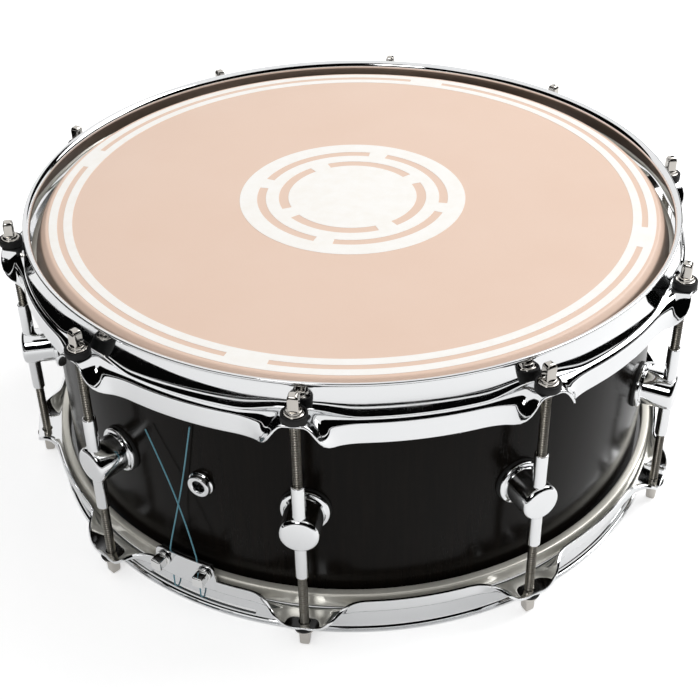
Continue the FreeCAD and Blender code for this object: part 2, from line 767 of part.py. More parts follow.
def make_lug_gaskets():
    """Thin gaskets under the posts, curved to the shell at the back."""
    body = new_body("lug_gaskets", s.lug_start_angle)
    sketch = sketch_on(body, "YZ_Plane", "disc", (None, None, POST_BACK))
    circle(sketch, ZERO, LUG_LEVEL, s.flange_diameter + s.gasket_margin * 2)
    circle(sketch, ZERO, LUG_LEVEL, s.lug_screw_diameter + s.screw_clearance * 2)
    disc = pad(body, sketch, s.gasket_thickness * 2, back=True)
    polar(body, [disc], s.lug_count)
    cut_to_shell(body)
    return body


def cut_to_shell(body):
    """Cuts a body back to the shell's outside."""
    sketch = rectangle(sketch_on(body, "XZ_Plane", "shell_side"), ZERO, ZERO, s.shell_radius, LIP_TOP)
    return groove(body, sketch)


def make_lug_screws():
    """Screws from inside the shell into the posts."""
    body = new_body("lug_screws", s.lug_start_angle)
    seat = SHELL_INSIDE - s.seat_gap - s.lug_washer_thickness
    back = seat - s.lug_screw_head_height
    profile = outline(sketch_on(body, "XZ_Plane", "profile", (None, LUG_LEVEL, None)), [
        (back, ZERO), (POST_BACK + s.lug_screw_reach, ZERO),
        (POST_BACK + s.lug_screw_reach, s.lug_screw_diameter / 2), (seat, s.lug_screw_diameter / 2),
        (seat, s.lug_screw_head / 2), (back, s.lug_screw_head / 2)])
    screw = revolve(body, profile, "H_Axis")
    polar(body, [screw], s.lug_count)
    return body


def make_lug_washers():
    """Flat washers under the lug screws' heads."""
    body = new_body("lug_washers", s.lug_start_angle)
    face = SHELL_INSIDE - s.seat_gap
    bore = s.lug_screw_diameter / 2 + s.screw_clearance
    profile = rectangle(sketch_on(body, "XZ_Plane", "profile", (None, LUG_LEVEL, None)),
                        face - s.lug_washer_thickness, bore, face, s.lug_washer_diameter / 2)
    polar(body, [revolve(body, profile, "H_Axis")], s.lug_count)
    return body


def snare_washer_height():
    """The lower washers take up what the lower rods' heads leave below the ears."""
    head = LIP_TOP - s.rod_tip_inset - BATTER_PAD - s.batter_washer_height - s.turning_gap
    return SNARE_PAD - s.rod_tip_inset - head - s.turning_gap


def make_rod_washers(label, pad_level, diameter, height, side):
    """Washers between the ears and the rods' heads."""
    body = new_body(label, s.lug_start_angle)
    bore = s.rod_diameter / 2 + s.washer_clearance
    far = away(pad_level, height, side)
    profile = outline(sketch_on(body, "XZ_Plane", "profile", (s.rod_circle, None, None)), [
        (bore, pad_level), (diameter / 2, pad_level), (diameter / 2, far, s.washer_round), (bore, far)])
    polar(body, [revolve(body, profile)], s.lug_count)
    return body


def make_rod(label, number, tip, bite, side):
    """A tension rod: square head, collar and a shank that bites into its lug tube, at one ear."""
    step = as_size(FULL_TURN) / s.lug_count
    body = new_body(label, s.lug_start_angle + step * number)
    head = LIP_TOP - s.rod_tip_inset - BATTER_PAD - s.batter_washer_height - s.turning_gap
    seat = away(tip, head, -side)
    crown = away(seat, s.head_collar_height, side)
    point = away(LUG_LEVEL, s.tube_length / 2 - bite, side)
    profile = outline(sketch_on(body, "XZ_Plane", "profile", (s.rod_circle, None, None)), [
        (ZERO, point), (s.rod_diameter / 2 - s.rod_point, point),
        (s.rod_diameter / 2, away(point, s.rod_point, side)), (s.rod_diameter / 2, seat),
        (s.head_collar / 2, seat), (s.head_collar / 2, crown, s.washer_round), (ZERO, crown)])
    revolve(body, profile)
    half = s.head_square / 2
    sketch = sketch_on(body, "XY_Plane", "square", (None, None, crown))
    rectangle(sketch, s.rod_circle - half, -half, s.rod_circle + half, half)
    square = pad(body, sketch, head - s.head_collar_height, back=side < 0)
    bevel_edges(body, square, s.head_chamfer, lambda edge: is_level(edge, tip))
    return body


def is_level(edge, level):
    """Tells whether an edge lies at a level."""
    return all(math.isclose(vertex.Z, level.value, abs_tol=1e-6) for vertex in edge.Vertexes)


def make_vent_grommet():
    """The metal grommet that lines the vent hole."""
    body = new_body("vent_grommet", s.vent_angle)
    inside = SHELL_INSIDE - s.seat_gap - s.vent_nut_height
    face = s.shell_radius + s.vent_stand
    profile = outline(sketch_on(body, "XZ_Plane", "profile", (None, LIP_TOP / 2, None)), [
        (inside, s.vent_hole / 2), (face, s.vent_hole / 2, s.vent_round),
        (face, s.vent_rim / 2, s.vent_round),
        (s.shell_radius, s.vent_rim / 2), (s.shell_radius, s.vent_barrel / 2), (inside, s.vent_barrel / 2)])
    revolve(body, profile, "H_Axis")
    return body


def make_vent_nut():
    """The ring nut that holds the grommet from inside."""
    body = new_body("vent_nut", s.vent_angle)
    face = SHELL_INSIDE - s.seat_gap
    profile = rectangle(sketch_on(body, "XZ_Plane", "profile", (None, LIP_TOP / 2, None)),
                        face - s.vent_nut_height, s.vent_barrel / 2, face, s.vent_nut / 2)
    revolve(body, profile, "H_Axis")
    return body


def make_butt_clamp_bar():
    """The dark bar behind the tab that presses the cords against it."""
    body = new_body("butt_clamp_bar", s.butt_angle - s.bar_angle / 2)
    face = CORD_CLAMPED - s.cord_diameter / 2 - s.cord_clearance
    profile = rectangle(sketch_on(body, "XZ_Plane", "profile"),
                        face - s.bar_thickness, s.bar_bottom, face, s.bar_top)
    revolve(body, profile, angle=s.bar_angle)
    for name, turn in butt_screw_turns():
        sketch = sketch_on(body, "YZ_Plane", f"{name}_hole", turn=s.bar_angle / 2 + turn)
        pocket(body, circle(sketch, ZERO, s.butt_screw_level, s.butt_screw_diameter))
    return body


def make_butt_screws():
    """Two square-head screws through the tab into the clamp bar."""
    body = new_body("butt_screws", s.butt_angle - s.butt_screw_spread_angle / 2)
    seat = s.hoop_skirt_radius + s.cord_clearance
    collar = seat + s.butt_head_collar_height
    end = CORD_CLAMPED - s.cord_diameter / 2 - s.cord_clearance - s.butt_screw_reach
    profile = outline(sketch_on(body, "XZ_Plane", "profile", (None, s.butt_screw_level, None)), [
        (end, ZERO), (collar, ZERO), (collar, s.butt_head_collar / 2, s.washer_round),
        (seat, s.butt_head_collar / 2), (seat, s.butt_screw_diameter / 2), (end, s.butt_screw_diameter / 2)])
    shank = revolve(body, profile, "H_Axis")
    half = s.head_square / 2
    sketch = sketch_on(body, "YZ_Plane", "square", (None, None, collar))
    rectangle(sketch, -half, s.butt_screw_level - half, half, s.butt_screw_level + half)
    head = pad(body, sketch, s.butt_head_height)
    pair = as_size(2)
    polar(body, [shank, head], pair, s.butt_screw_spread_angle)
    return body


def make_snare_wires():
    """The strands of the snares, under the lower film."""
    body = new_body("snare_wires", s.strainer_angle)
    level = SNARE_FILM_FACE - s.wire_gap - s.wire_diameter / 2
    first = -(s.wire_pitch * (s.wire_count - 1) / 2)
    sketch = sketch_on(body, "YZ_Plane", "section", (None, None, -s.wire_half_length))
    strand = pad(body, circle(sketch, first, level, s.wire_diameter), s.wire_half_length * 2)
    row = body.newObject("PartDesign::LinearPattern", "strand_row")
    row.Originals = [strand]
    row.Direction = (origin_part(body, "Y_Axis"), [""])
    row.Length = (s.wire_pitch * (s.wire_count - 1)).value
    row.setExpression("Length", (s.wire_pitch * (s.wire_count - 1)).text)
    row.Occurrences = int(s.wire_count.value)
    row.setExpression("Occurrences", s.wire_count.text)
    body.Tip = row
    return body


def make_end_plate(label, angle):
    """The plate that the strands' ends are fixed to."""
    body = new_body(label, angle)
    top = SNARE_FILM_FACE - s.wire_gap
    half = s.wire_pitch * (s.wire_count - 1) / 2 + s.wire_diameter / 2 + s.end_plate_margin
    sketch = sketch_on(body, "XY_Plane", "outline", (None, None, top - s.wire_diameter))
    rectangle(sketch, s.wire_half_length, -half, END_PLATE_REACH, half)
    pad(body, sketch, s.wire_diameter)
    return body


def make_strainer_base():
    """The strainer's channel on the shell: back plate and two cheeks that the lever turns on."""
    body = new_body("strainer_base", s.strainer_angle)
    plate_face = s.shell_radius + s.base_plate
    height = s.base_top - s.base_bottom
    front = plate_face + s.cheek_reach
    inside = s.shell_radius - s.base_plate
    section = sketch_on(body, "XY_Plane", "section", (None, None, s.base_bottom))
    outline(section, [
        (inside, -s.base_half), (front, -s.base_half), (front, -CHEEK_INSIDE), (plate_face, -CHEEK_INSIDE),
        (plate_face, CHEEK_INSIDE), (front, CHEEK_INSIDE), (front, s.base_half), (inside, s.base_half)])
    pad(body, section, height)
    cut_to_shell(body)
    pin = sketch_on(body, "XZ_Plane", "pin_bore", (None, None, -s.base_half - s.overrun))
    pocket(body, circle(pin, s.shell_radius + s.pin_offset, s.pin_level, s.pin_diameter))
    screws = sketch_on(body, "YZ_Plane", "screw_bores", (None, None, inside))
    for level in base_screw_levels():
        circle(screws, ZERO, level, s.base_screw_diameter)
    bores = pocket(body, screws)
    bores.Type = "Length"
    bores.Length = (s.base_plate + s.base_screw_bite).value
    bores.setExpression("Length", (s.base_plate + s.base_screw_bite).text)
    return body


def make_strainer_base_screws():
    """Two screws from inside the shell into the strainer's base."""
    body = new_body("strainer_base_screws", s.strainer_angle)
    seat = SHELL_INSIDE - s.seat_gap
    back = seat - s.base_screw_head_height
    end = s.shell_radius + s.base_screw_bite
    for number, level in enumerate(base_screw_levels()):
        profile = outline(sketch_on(body, "XZ_Plane", f"profile_{number}", (None, level, None)), [
            (back, ZERO), (end, ZERO), (end, s.base_screw_diameter / 2), (seat, s.base_screw_diameter / 2),
            (seat, s.base_screw_head / 2), (back, s.base_screw_head / 2)])
        revolve(body, profile, "H_Axis")
    return body


def foot_face():
    """The inner face of the slider's foot, which the cords are pressed against."""
    return CORD_RISE + s.cord_diameter / 2 + s.cord_clearance


def clamp_screw_level():
    """The level of the strainer's clamp screws."""
    return s.foot_bottom + s.clamp_plate_height / 2


def make_strainer_slider():
    """The block that slides in the channel, with a foot that holds the cords."""
    body = new_body("strainer_slider", s.strainer_angle)
    half = CHEEK_INSIDE - s.slide_gap
    front = SLIDER_BACK + s.slider_depth
    foot_front = foot_face() + s.foot_thickness
    side = outline(sketch_on(body, "XZ_Plane", "side", (None, None, -half)), [
        (SLIDER_BACK, s.slider_bottom), (foot_face(), s.slider_bottom), (foot_face(), s.foot_bottom),
        (foot_front, s.foot_bottom), (foot_front, s.slider_bottom + s.foot_thickness),
        (front, s.slider_bottom + s.foot_thickness), (front, s.slider_top), (SLIDER_BACK, s.slider_top)])
    pad(body, side, half * 2)
    stem = sketch_on(body, "XY_Plane", "stem_bore", (None, None, s.slider_top - s.slider_depth))
    pocket(body, circle(stem, knob_radius(), ZERO, s.knob_stem + s.rod_fit * 2))
    screws = sketch_on(body, "YZ_Plane", "screw_bores")
    for place in (-s.clamp_screw_half_spread, s.clamp_screw_half_spread):
        circle(screws, place, clamp_screw_level(), s.clamp_screw_diameter)
    pocket(body, screws)
    return body


def knob_radius():
    """How far the knob's axis lies from the drum's axis: the knob just clears the back plate."""
    return s.shell_radius + s.base_plate + s.knob_gap + s.knob_diameter / 2


def make_strainer_clamp_plate():
    """The plate that presses the cords against the slider's foot."""
    body = new_body("strainer_clamp_plate", s.strainer_angle)
    half = CHEEK_INSIDE - s.slide_gap
    face = CORD_RISE - s.cord_diameter / 2 - s.cord_clearance
    sketch = sketch_on(body, "XY_Plane", "outline", (None, None, s.foot_bottom))
    rectangle(sketch, face - s.clamp_plate_thickness, -half, face, half)
    pad(body, sketch, s.clamp_plate_height)
    screws = sketch_on(body, "YZ_Plane", "screw_bores")
    for place in (-s.clamp_screw_half_spread, s.clamp_screw_half_spread):
        circle(screws, place, clamp_screw_level(), s.clamp_screw_diameter)
    pocket(body, screws)
    return body


def make_strainer_clamp_screws():
    """Two screws through the foot into the clamp plate."""
    body = new_body("strainer_clamp_screws", s.strainer_angle)
    seat = foot_face() + s.foot_thickness
    end = CORD_RISE - s.cord_diameter / 2 - s.cord_clearance - s.clamp_plate_thickness
    shanks = sketch_on(body, "YZ_Plane", "shanks", (None, None, end))
    heads = sketch_on(body, "YZ_Plane", "heads", (None, None, seat))
    for place in (-s.clamp_screw_half_spread, s.clamp_screw_half_spread):
        circle(shanks, place, clamp_screw_level(), s.clamp_screw_diameter)
        circle(heads, place, clamp_screw_level(), s.clamp_screw_head)
    pad(body, shanks, seat - end)
    pad(body, heads, s.clamp_screw_head_height)
    return body


def make_strainer_knob():
    """The thumb knob that sets the snares' tension, with its stem in the slider."""
    body = new_body("strainer_knob", s.strainer_angle)
    stem_foot = s.slider_top - s.slider_depth
    profile = outline(sketch_on(body, "XZ_Plane", "profile", (knob_radius(), None, None)), [
        (ZERO, stem_foot), (s.knob_stem / 2, stem_foot), (s.knob_stem / 2, s.knob_level),
        (s.knob_diameter / 2, s.knob_level),
        (s.knob_diameter / 2, s.knob_level + s.knob_height, s.washer_round),
        (ZERO, s.knob_level + s.knob_height)])
    revolve(body, profile)
    return body


def make_strainer_pivot_pin():
    """The pin across the cheeks that the lever turns on."""
    body = new_body("strainer_pivot_pin", s.strainer_angle)
    outer = s.base_half + s.lever_gap * 2 + s.lever_arm
    end = outer + s.pin_head_height
    axis = s.shell_radius + s.pin_offset
    profile = sketch_on(body, "YZ_Plane", "profile", (None, s.pin_level, axis))
    outline(profile, [
        (-end, ZERO), (end, ZERO), (end, s.pin_head / 2), (outer, s.pin_head / 2),
        (outer, s.pin_diameter / 2), (-outer, s.pin_diameter / 2), (-outer, s.pin_head / 2),
        (-end, s.pin_head / 2)])
    revolve(body, profile, "H_Axis")
    return body


def make_strainer_lever():
    """The forked lever: two arms outside the cheeks, joined by a finger plate in front."""
    body = new_body("strainer_lever", s.strainer_angle)
    axis = s.shell_radius + s.pin_offset
    back = axis - s.lever_width / 2
    inside = s.base_half + s.lever_gap
    front = axis + s.lever_width / 2
    outside = inside + s.lever_arm
    foot = s.pin_level - s.lever_drop
    crown = s.pin_level + s.lever_width / 2
    for name, place in (("near", -outside), ("far", inside)):
        arm = outline(sketch_on(body, "XZ_Plane", f"{name}_arm", (None, None, -place)), [
            (back, foot, s.lever_arm), (front, foot), (front, crown, s.lever_arm),
            (back, crown, s.lever_arm)])
        pad(body, arm, s.lever_arm, back=True)
    plate = sketch_on(body, "XY_Plane", "finger_plate", (None, None, foot))
    rectangle(plate, front, -outside, front + s.lever_plate, outside)
    pad(body, plate, s.lever_plate_height)
    bore = sketch_on(body, "XZ_Plane", "pin_bore", (None, None, -outside - s.overrun))
    pocket(body, circle(bore, axis, s.pin_level, s.pin_diameter + s.rod_fit * 2))
    return body


def cord_route(points, angle):
    """Turns a cord's points, given outwards, round and up, to the drum's frame at an angle."""
    turn = FreeCAD.Rotation(FreeCAD.Vector(0, 0, 1), angle.value)
    return [turn.multVec(FreeCAD.Vector(*point)) for point in points]


def cord_tube(label, routes, bend=None):
    """Makes tubes along routes of straight runs and tangent arcs, and checks their volume.

    Args:
        label: the node's name.
        routes: one list of points for each strand.
        bend: the arcs' radius, or None for arcs as large as their runs allow.
    """
    diameter = s.cord_diameter.value
    solids = []
    for points in routes:
        edges, length, radii = route_edges(points, bend)
        profile = Part.Wire([Part.makeCircle(diameter / 2, points[0], points[1] - points[0])])
        solid = Part.Wire(edges).makePipeShell([profile], True, False)
        whole = length * math.pi * diameter ** 2 / 4
        if not math.isclose(solid.Volume, whole, rel_tol=1e-3):
            raise ValueError(f"{label}: volume {solid.Volume} is not section times length {whole}")
        print(label, "length", round(length, 2), "radii", [round(radius, 2) for radius in radii])
        solids.append(solid)
    feature = doc.addObject("Part::Feature", label)
    feature.Label = label
    feature.Shape = Part.makeCompound(solids) if len(solids) > 1 else solids[0]
    return feature


def route_edges(points, bend):
    """Lines and tangent arcs along a route, with its length and the arcs' radii."""
    edges = []
    radii = []
    start = points[0]
    for before, corner, after in zip(points, points[1:], points[2:]):
        back = (before - corner).normalize()
        ahead = (after - corner).normalize()
        half = back.getAngle(ahead) / 2
        run = min((before - corner).Length, (after - corner).Length)
        radius = run * ARC_SHARE * math.tan(half) if bend is None else bend
        leave, middle, join = rounded_corner(before, corner, after, radius)
        edges.append(Part.LineSegment(start, leave).toShape())
        edges.append(Part.Arc(leave, middle, join).toShape())
        radii.append(radius)
        start = join
    edges.append(Part.LineSegment(start, points[-1]).toShape())
    return edges, sum(edge.Length for edge in edges), radii


def make_cords():
    """The snare cords: the stretches that the drum holds, and the two free ends at the clamp."""
    level = s.cord_level.value
    exit_level = (s.tab_top + s.cord_exit_stand).value
    clamp_level = (s.foot_bottom + s.clamp_plate_height).value
    butt = []
    strainer = []
    free = []
    spread = s.cord_half_spread.value
    for side, points in ((-spread, FREE_CORD_LEFT), (spread, FREE_CORD_RIGHT)):
        start = (END_PLATE_REACH.value, side, level)
        clamped = (CORD_CLAMPED.value, side, exit_level)
        above = (CORD_CLAMPED.value, side, exit_level + s.cord_exit_run.value)
        loose = [(s.shell_radius.value + out, place, up) for out, place, up in points]
        butt.append(cord_route([start, (CORD_CLAMPED.value, side, level), clamped], s.butt_angle))
        rise = (CORD_RISE.value, side, level)
        strainer.append(cord_route([start, rise, (CORD_RISE.value, side, clamp_level)], s.strainer_angle))
        free.append(cord_route([clamped, above] + loose, s.butt_angle))
    return [
        cord_tube("butt_cords", butt, s.cord_bend.value),
        cord_tube("strainer_cords", strainer, s.cord_bend.value),
        cord_tube("snare_cord_left", free[:1]),
        cord_tube("snare_cord_right", free[1:]),
    ]


def build():
    """Makes every piece and returns them in order."""
    pieces = [
        make_shell(),
        make_film("batter_film", SHELL_TOP, BATTER_FLESH_SEAT, s.film_thickness, BATTER),
        make_flesh_hoop("batter_flesh_hoop", BATTER_FLESH_SEAT, s.film_thickness, BATTER),
        make_control_ring(),
        make_centre_dot(),
        make_film("snare_side_film", SHELL_BOTTOM, SNARE_FLESH_SEAT, s.snare_film_thickness, SNARE),
        make_flesh_hoop("snare_side_flesh_hoop", SNARE_FLESH_SEAT, s.snare_film_thickness, SNARE),
        make_hoop("batter_hoop", LIP_TOP, s.batter_ledge_depth, s.batter_skirt_depth, BATTER),
        add_snare_gates(make_hoop("snare_side_hoop", ZERO, s.snare_ledge_depth, s.snare_skirt_depth, SNARE)),
        make_lug_posts(),
        make_lug_tubes(),
        make_lug_gaskets(),
        make_lug_screws(),
        make_lug_washers(),
        make_rod_washers("batter_rod_washers", BATTER_PAD, s.batter_washer, s.batter_washer_height, BATTER),
        make_rod_washers("snare_rod_washers", SNARE_PAD, s.snare_washer, snare_washer_height(), SNARE),
        make_vent_grommet(),
        make_vent_nut(),
        make_butt_clamp_bar(),
        make_butt_screws(),
        make_snare_wires(),
        make_end_plate("snare_end_plate_butt", s.butt_angle),
        make_end_plate("snare_end_plate_strainer", s.strainer_angle),
        make_strainer_base(),
        make_strainer_base_screws(),
        make_strainer_slider(),
        make_strainer_clamp_plate(),
        make_strainer_clamp_screws(),
        make_strainer_knob(),
        make_strainer_pivot_pin(),
        make_strainer_lever(),
    ]
    pieces.extend(make_cords())
    for number in range(int(s.lug_count.value)):
        name = f"rod_{number + 1:02d}"
        top = LIP_TOP - s.rod_tip_inset
        pieces.append(make_rod(f"batter_{name}", number, top, s.batter_rod_bite, BATTER))
        pieces.append(make_rod(f"snare_{name}", number, s.rod_tip_inset, s.snare_rod_bite, SNARE))
    return pieces


def check(pieces):
    """Stops the build if an object failed, a shape is bad or a cut removed nothing."""
    for item in doc.Objects:
        if "Invalid" in item.State or "Error" in item.State:
            raise ValueError(f"{item.Label} failed: {item.State}")
    for piece in pieces:
        if piece.Shape.isNull() or not piece.Shape.isValid():
            raise ValueError(f"{piece.Label} has no valid shape")
    for cut in cuts:
        if cut.Shape.Volume >= cut.BaseFeature.Shape.Volume:
            raise ValueError(f"{cut.Label} cuts nothing")


def write(pieces):
    """Writes each piece to its own file."""
    os.makedirs("parts", exist_ok=True)
    for piece in pieces:
        piece.Shape.exportStep(f"parts/{piece.Label}.step")
        print(piece.Label, len(piece.Shape.Solids), "solids", round(piece.Shape.Volume, 1))


parts = build()
doc.recompute()
check(parts)
write(parts)
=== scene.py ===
"""A 14 inch snare drum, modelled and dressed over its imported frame.

Sizes are in millimetres and angles in degrees, unless a name says otherwise. Blender works in metres.
"""

import logging
import math
from collections.abc import Callable, Sequence
from dataclasses import dataclass
from enum import Enum, auto

import bpy
from mathutils import Matrix, Vector


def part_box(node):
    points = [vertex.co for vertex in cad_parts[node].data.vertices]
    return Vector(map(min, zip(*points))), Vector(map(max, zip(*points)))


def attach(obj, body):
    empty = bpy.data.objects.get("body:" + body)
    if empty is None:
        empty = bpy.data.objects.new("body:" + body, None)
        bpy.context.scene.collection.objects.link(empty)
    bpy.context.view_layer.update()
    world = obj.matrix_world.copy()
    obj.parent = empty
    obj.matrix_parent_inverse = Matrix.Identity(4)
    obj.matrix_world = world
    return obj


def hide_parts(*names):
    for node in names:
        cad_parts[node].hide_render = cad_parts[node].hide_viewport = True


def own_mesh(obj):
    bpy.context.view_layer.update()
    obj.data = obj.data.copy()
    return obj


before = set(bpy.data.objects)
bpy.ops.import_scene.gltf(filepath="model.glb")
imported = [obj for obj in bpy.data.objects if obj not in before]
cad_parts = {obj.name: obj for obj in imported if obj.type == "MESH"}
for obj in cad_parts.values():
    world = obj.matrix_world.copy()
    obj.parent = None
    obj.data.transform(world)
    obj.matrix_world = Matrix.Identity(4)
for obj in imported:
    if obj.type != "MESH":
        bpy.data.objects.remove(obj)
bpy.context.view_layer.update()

MM = 0.001
WELD = 1e-6
SMOOTH_ANGLE = 38.0
BEVEL_STEPS = 3
ORIGIN = (0.0, 0.0, 0.0)
UP = (0.0, 0.0, 1.0)

# Faces round a turned piece.
FINE_STEPS = 720
ROUND_STEPS = 288
POST_STEPS = 72
SCREW_STEPS = 48
ROD_STEPS = 40
STEM_STEPS = 32
HOLE_STEPS = 28

# Places that several pieces share.
LUG_COUNT = 10
LUG_START = 10.0
LUG_STEP = 360.0 / LUG_COUNT
ROD_CIRCLE = 194.0
BUTT_ANGLE = 241.0
STRAINER_ANGLE = 61.0
SNARE_LEVEL = 5.2
PLATE_OUTER = 162.0
CORD_DIAMETER = 0.8

Piece = bpy.types.Object
Socket = bpy.types.NodeSocket
Tree = bpy.types.NodeTree
Point = tuple[float, float]
Corner = tuple[float, ...]
log = logging.getLogger("drum")


class Plane(Enum):
    """The plane that an outline is drawn in."""

    UPRIGHT = "radius and height"
    FLAT = "plan"

    def spot(self, across: float, along: float) -> Vector:
        """Gives the place of an outline's point.

        Args:
            across: Distance along the outline's first axis.
            along: Distance along its second axis.

        Returns:
            The place in metres.
        """
        if self is Plane.UPRIGHT:
            return Vector((across, 0.0, along)) * MM
        return Vector((across, along, 0.0)) * MM


@dataclass(frozen=True)
class Span:
    """How far a node of the frame reaches: lowest level, highest level and largest x."""

    low: float
    high: float
    reach: float

    @classmethod
    def of(cls, node: str) -> "Span":
        """Reads the span of a node from the frame."""
        lowest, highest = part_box(node)
        return cls(lowest[2] / MM, highest[2] / MM, highest[0] / MM)


def ease(share: float) -> float:
    """Eases a share between 0 and 1 softly in and out."""
    share = min(max(share, 0.0), 1.0)
    return share ** 3 * (10.0 - 15.0 * share + 6.0 * share * share)


def deselect() -> None:
    """Deselects everything, the frame's nodes among it."""
    bpy.ops.object.select_all(action="DESELECT")


def take(piece: Piece) -> None:
    """Makes a piece the only one selected, and the active one.

    Args:
        piece: Piece to take.
    """
    deselect()
    piece.select_set(True)
    bpy.context.view_layer.objects.active = piece


def rounded(corners: Sequence[Corner], closed: bool, steps: int = 4) -> list[Point]:
    """Replaces the corners that carry a radius by arcs.

    Args:
        corners: Points, each with a third number where the corner is rounded.
        closed: Whether the last corner joins the first.
        steps: Edges in each arc.

    Returns:
        The points of the outline.
    """
    points = []
    count = len(corners)
    for index, corner in enumerate(corners):
        spot = Vector(corner[:2])
        is_end = index in (0, count - 1)
        if len(corner) == 2 or (is_end and not closed):
            points.append(tuple(spot))
            continue
        before = (Vector(corners[index - 1][:2]) - spot).normalized()
        after = (Vector(corners[(index + 1) % count][:2]) - spot).normalized()
        half = before.angle(after) / 2.0
        centre = spot + (before + after).normalized() * (corner[2] / math.sin(half))
        first = spot + before * (corner[2] / math.tan(half)) - centre
        last = spot + after * (corner[2] / math.tan(half)) - centre
        sweep = math.copysign(math.pi - 2.0 * half, first.x * last.y - first.y * last.x)
        for step in range(steps + 1):
            points.append(tuple(centre + Matrix.Rotation(sweep * step / steps, 2) @ first))
    return points


def square(side: float, corner: float) -> list[Corner]:
    """Gives the rounded corners of a square about the axis."""
    half = side / 2.0
    return [(-half, -half, corner), (half, -half, corner), (half, half, corner), (-half, half, corner)]


def band(inner: float, outer: float, low: float, high: float, soft: Point) -> list[Corner]:
    """Gives a ring's section as a box, with the radii of its inner and its outer corners in soft."""
    inside, outside = soft
    return [(inner, low, inside), (outer, low, outside), (outer, high, outside), (inner, high, inside)]


def draw_line(name: str, points: Sequence[Point], plane: Plane) -> Piece:
    """Draws a chain of edges by extruding one vertex from point to point, and stays in edit mode.

    Args:
        name: Name of the new piece.
        points: Points of the line in millimetres.
        plane: Plane that the points lie in.

    Returns:
        The new piece, with all of its line selected.
    """
    deselect()
    bpy.ops.mesh.primitive_plane_add(size=MM)
    piece = bpy.context.object
    piece.name = name
    bpy.ops.object.mode_set(mode="EDIT")
    bpy.ops.mesh.merge(type="CENTER")
    spots = [plane.spot(*point) for point in points]
    bpy.ops.transform.translate(value=spots[0])
    for here, there in zip(spots, spots[1:]):
        bpy.ops.mesh.extrude_vertices_move(TRANSFORM_OT_translate={"value": there - here})
    bpy.ops.mesh.select_all(action="SELECT")
    return piece


def close_up() -> None:
    """Merges doubles, turns the faces outwards and leaves edit mode."""
    bpy.ops.mesh.select_all(action="SELECT")
    bpy.ops.mesh.remove_doubles(threshold=WELD)
    bpy.ops.mesh.normals_make_consistent(inside=False)
    bpy.ops.object.mode_set(mode="OBJECT")


def spin_round(steps: int) -> None:
    """Turns the drawn line about the upright axis, and leaves edit mode."""
    bpy.ops.mesh.spin(steps=steps, angle=math.tau, center=ORIGIN, axis=UP)
    close_up()


def extrude(way: Corner) -> None:
    """Extrudes what is selected, by a way in millimetres."""
    bpy.ops.mesh.extrude_region_move(TRANSFORM_OT_translate={"value": Vector(way) * MM})


def lathe(name: str, corners: Sequence[Corner], steps: int, closed: bool = True) -> Piece:
    """Turns an outline of radius and height about the upright axis.

    Args:
        name: Name of the new piece.
        corners: Corners of the outline, rounded where they carry a radius.
        steps: Faces round the axis.
        closed: Whether the outline closes on itself, as it does away from the axis.

    Returns:
        The turned piece.
    """
    points = rounded(corners, closed)
    if closed:
        points.append(points[0])
    piece = draw_line(name, points, Plane.UPRIGHT)
    spin_round(steps)
    return piece


def drill_rod(name: str, radius: float, low: float, high: float, steps: int) -> Piece:
    """Turns a plain upright cylinder, which cuts a hole."""
    return lathe(name, [(0.0, low), (radius, low), (radius, high), (0.0, high)], steps, closed=False)


def prism(name: str, corners: Sequence[Corner], plane: Plane, height: float) -> Piece:
    """Fills an outline and extrudes it across its plane.

    Args:
        name: Name of the new piece.
        corners: Corners of the outline, rounded where they carry a radius.
        plane: Plane of the outline.
        height: Extruded length, upwards for a plan and along +y for an upright outline.

    Returns:
        The extruded piece.
    """
    points = rounded(corners, closed=True)
    piece = draw_line(name, points + points[:1], plane)
    bpy.ops.mesh.remove_doubles(threshold=WELD)
    bpy.ops.mesh.edge_face_add()
    extrude((0.0, 0.0, height) if plane is Plane.FLAT else (0.0, height, 0.0))
    close_up()
    return piece


def block(name: str, low: Corner, high: Corner, edge: float) -> Piece:
    """Makes a block between two corners, with its edges bevelled.

    Args:
        name: Name of the new piece.
        low: Lowest corner.
        high: Highest corner.
        edge: Width of the bevel.

    Returns:
        The block.
    """
    size = (Vector(high) - Vector(low)) * MM
    middle = (Vector(high) + Vector(low)) * (MM / 2.0)
    deselect()
    bpy.ops.mesh.primitive_cube_add(size=1.0, location=middle, scale=size)
    piece = bpy.context.object
    piece.name = name
    bpy.ops.object.transform_apply(location=True, rotation=True, scale=True)
    bpy.ops.object.mode_set(mode="EDIT")
    bpy.ops.mesh.bevel(offset=edge * MM, segments=BEVEL_STEPS, affect="EDGES")
    close_up()
    return piece


def set_down(piece: Piece, turn: Corner = ORIGIN, offset: Corner = ORIGIN) -> None:
    """Turns and moves a piece, and puts its place into its mesh.

    Args:
        piece: Piece at the origin.
        turn: Euler angles in degrees.
        offset: Move in millimetres, after the turn.
    """
    take(piece)
    piece.rotation_euler = [math.radians(angle) for angle in turn]
    piece.location = Vector(offset) * MM
    bpy.ops.object.transform_apply(location=True, rotation=True, scale=True)


def swing(piece: Piece, angle: float) -> None:
    """Turns a piece round the drum."""
    set_down(piece, turn=(0.0, 0.0, angle))


def lay_out(piece: Piece, level: float, radius: float = 0.0) -> None:
    """Lays a turned piece down with its axis outwards, at a level of the drum."""
    set_down(piece, turn=(0.0, 90.0, 0.0), offset=(radius, 0.0, level))


def finish_with(piece: Piece, kind: str, **settings: object) -> None:
    """Adds a modifier to a piece and applies it.

    Args:
        piece: Piece to change.
        kind: Type of the modifier.
        settings: Values of the modifier's properties.
    """
    take(piece)
    bpy.ops.object.modifier_add(type=kind)
    modifier = piece.modifiers[-1]
    for name, value in settings.items():
        setattr(modifier, name, value)
    bpy.ops.object.modifier_apply(modifier=modifier.name)


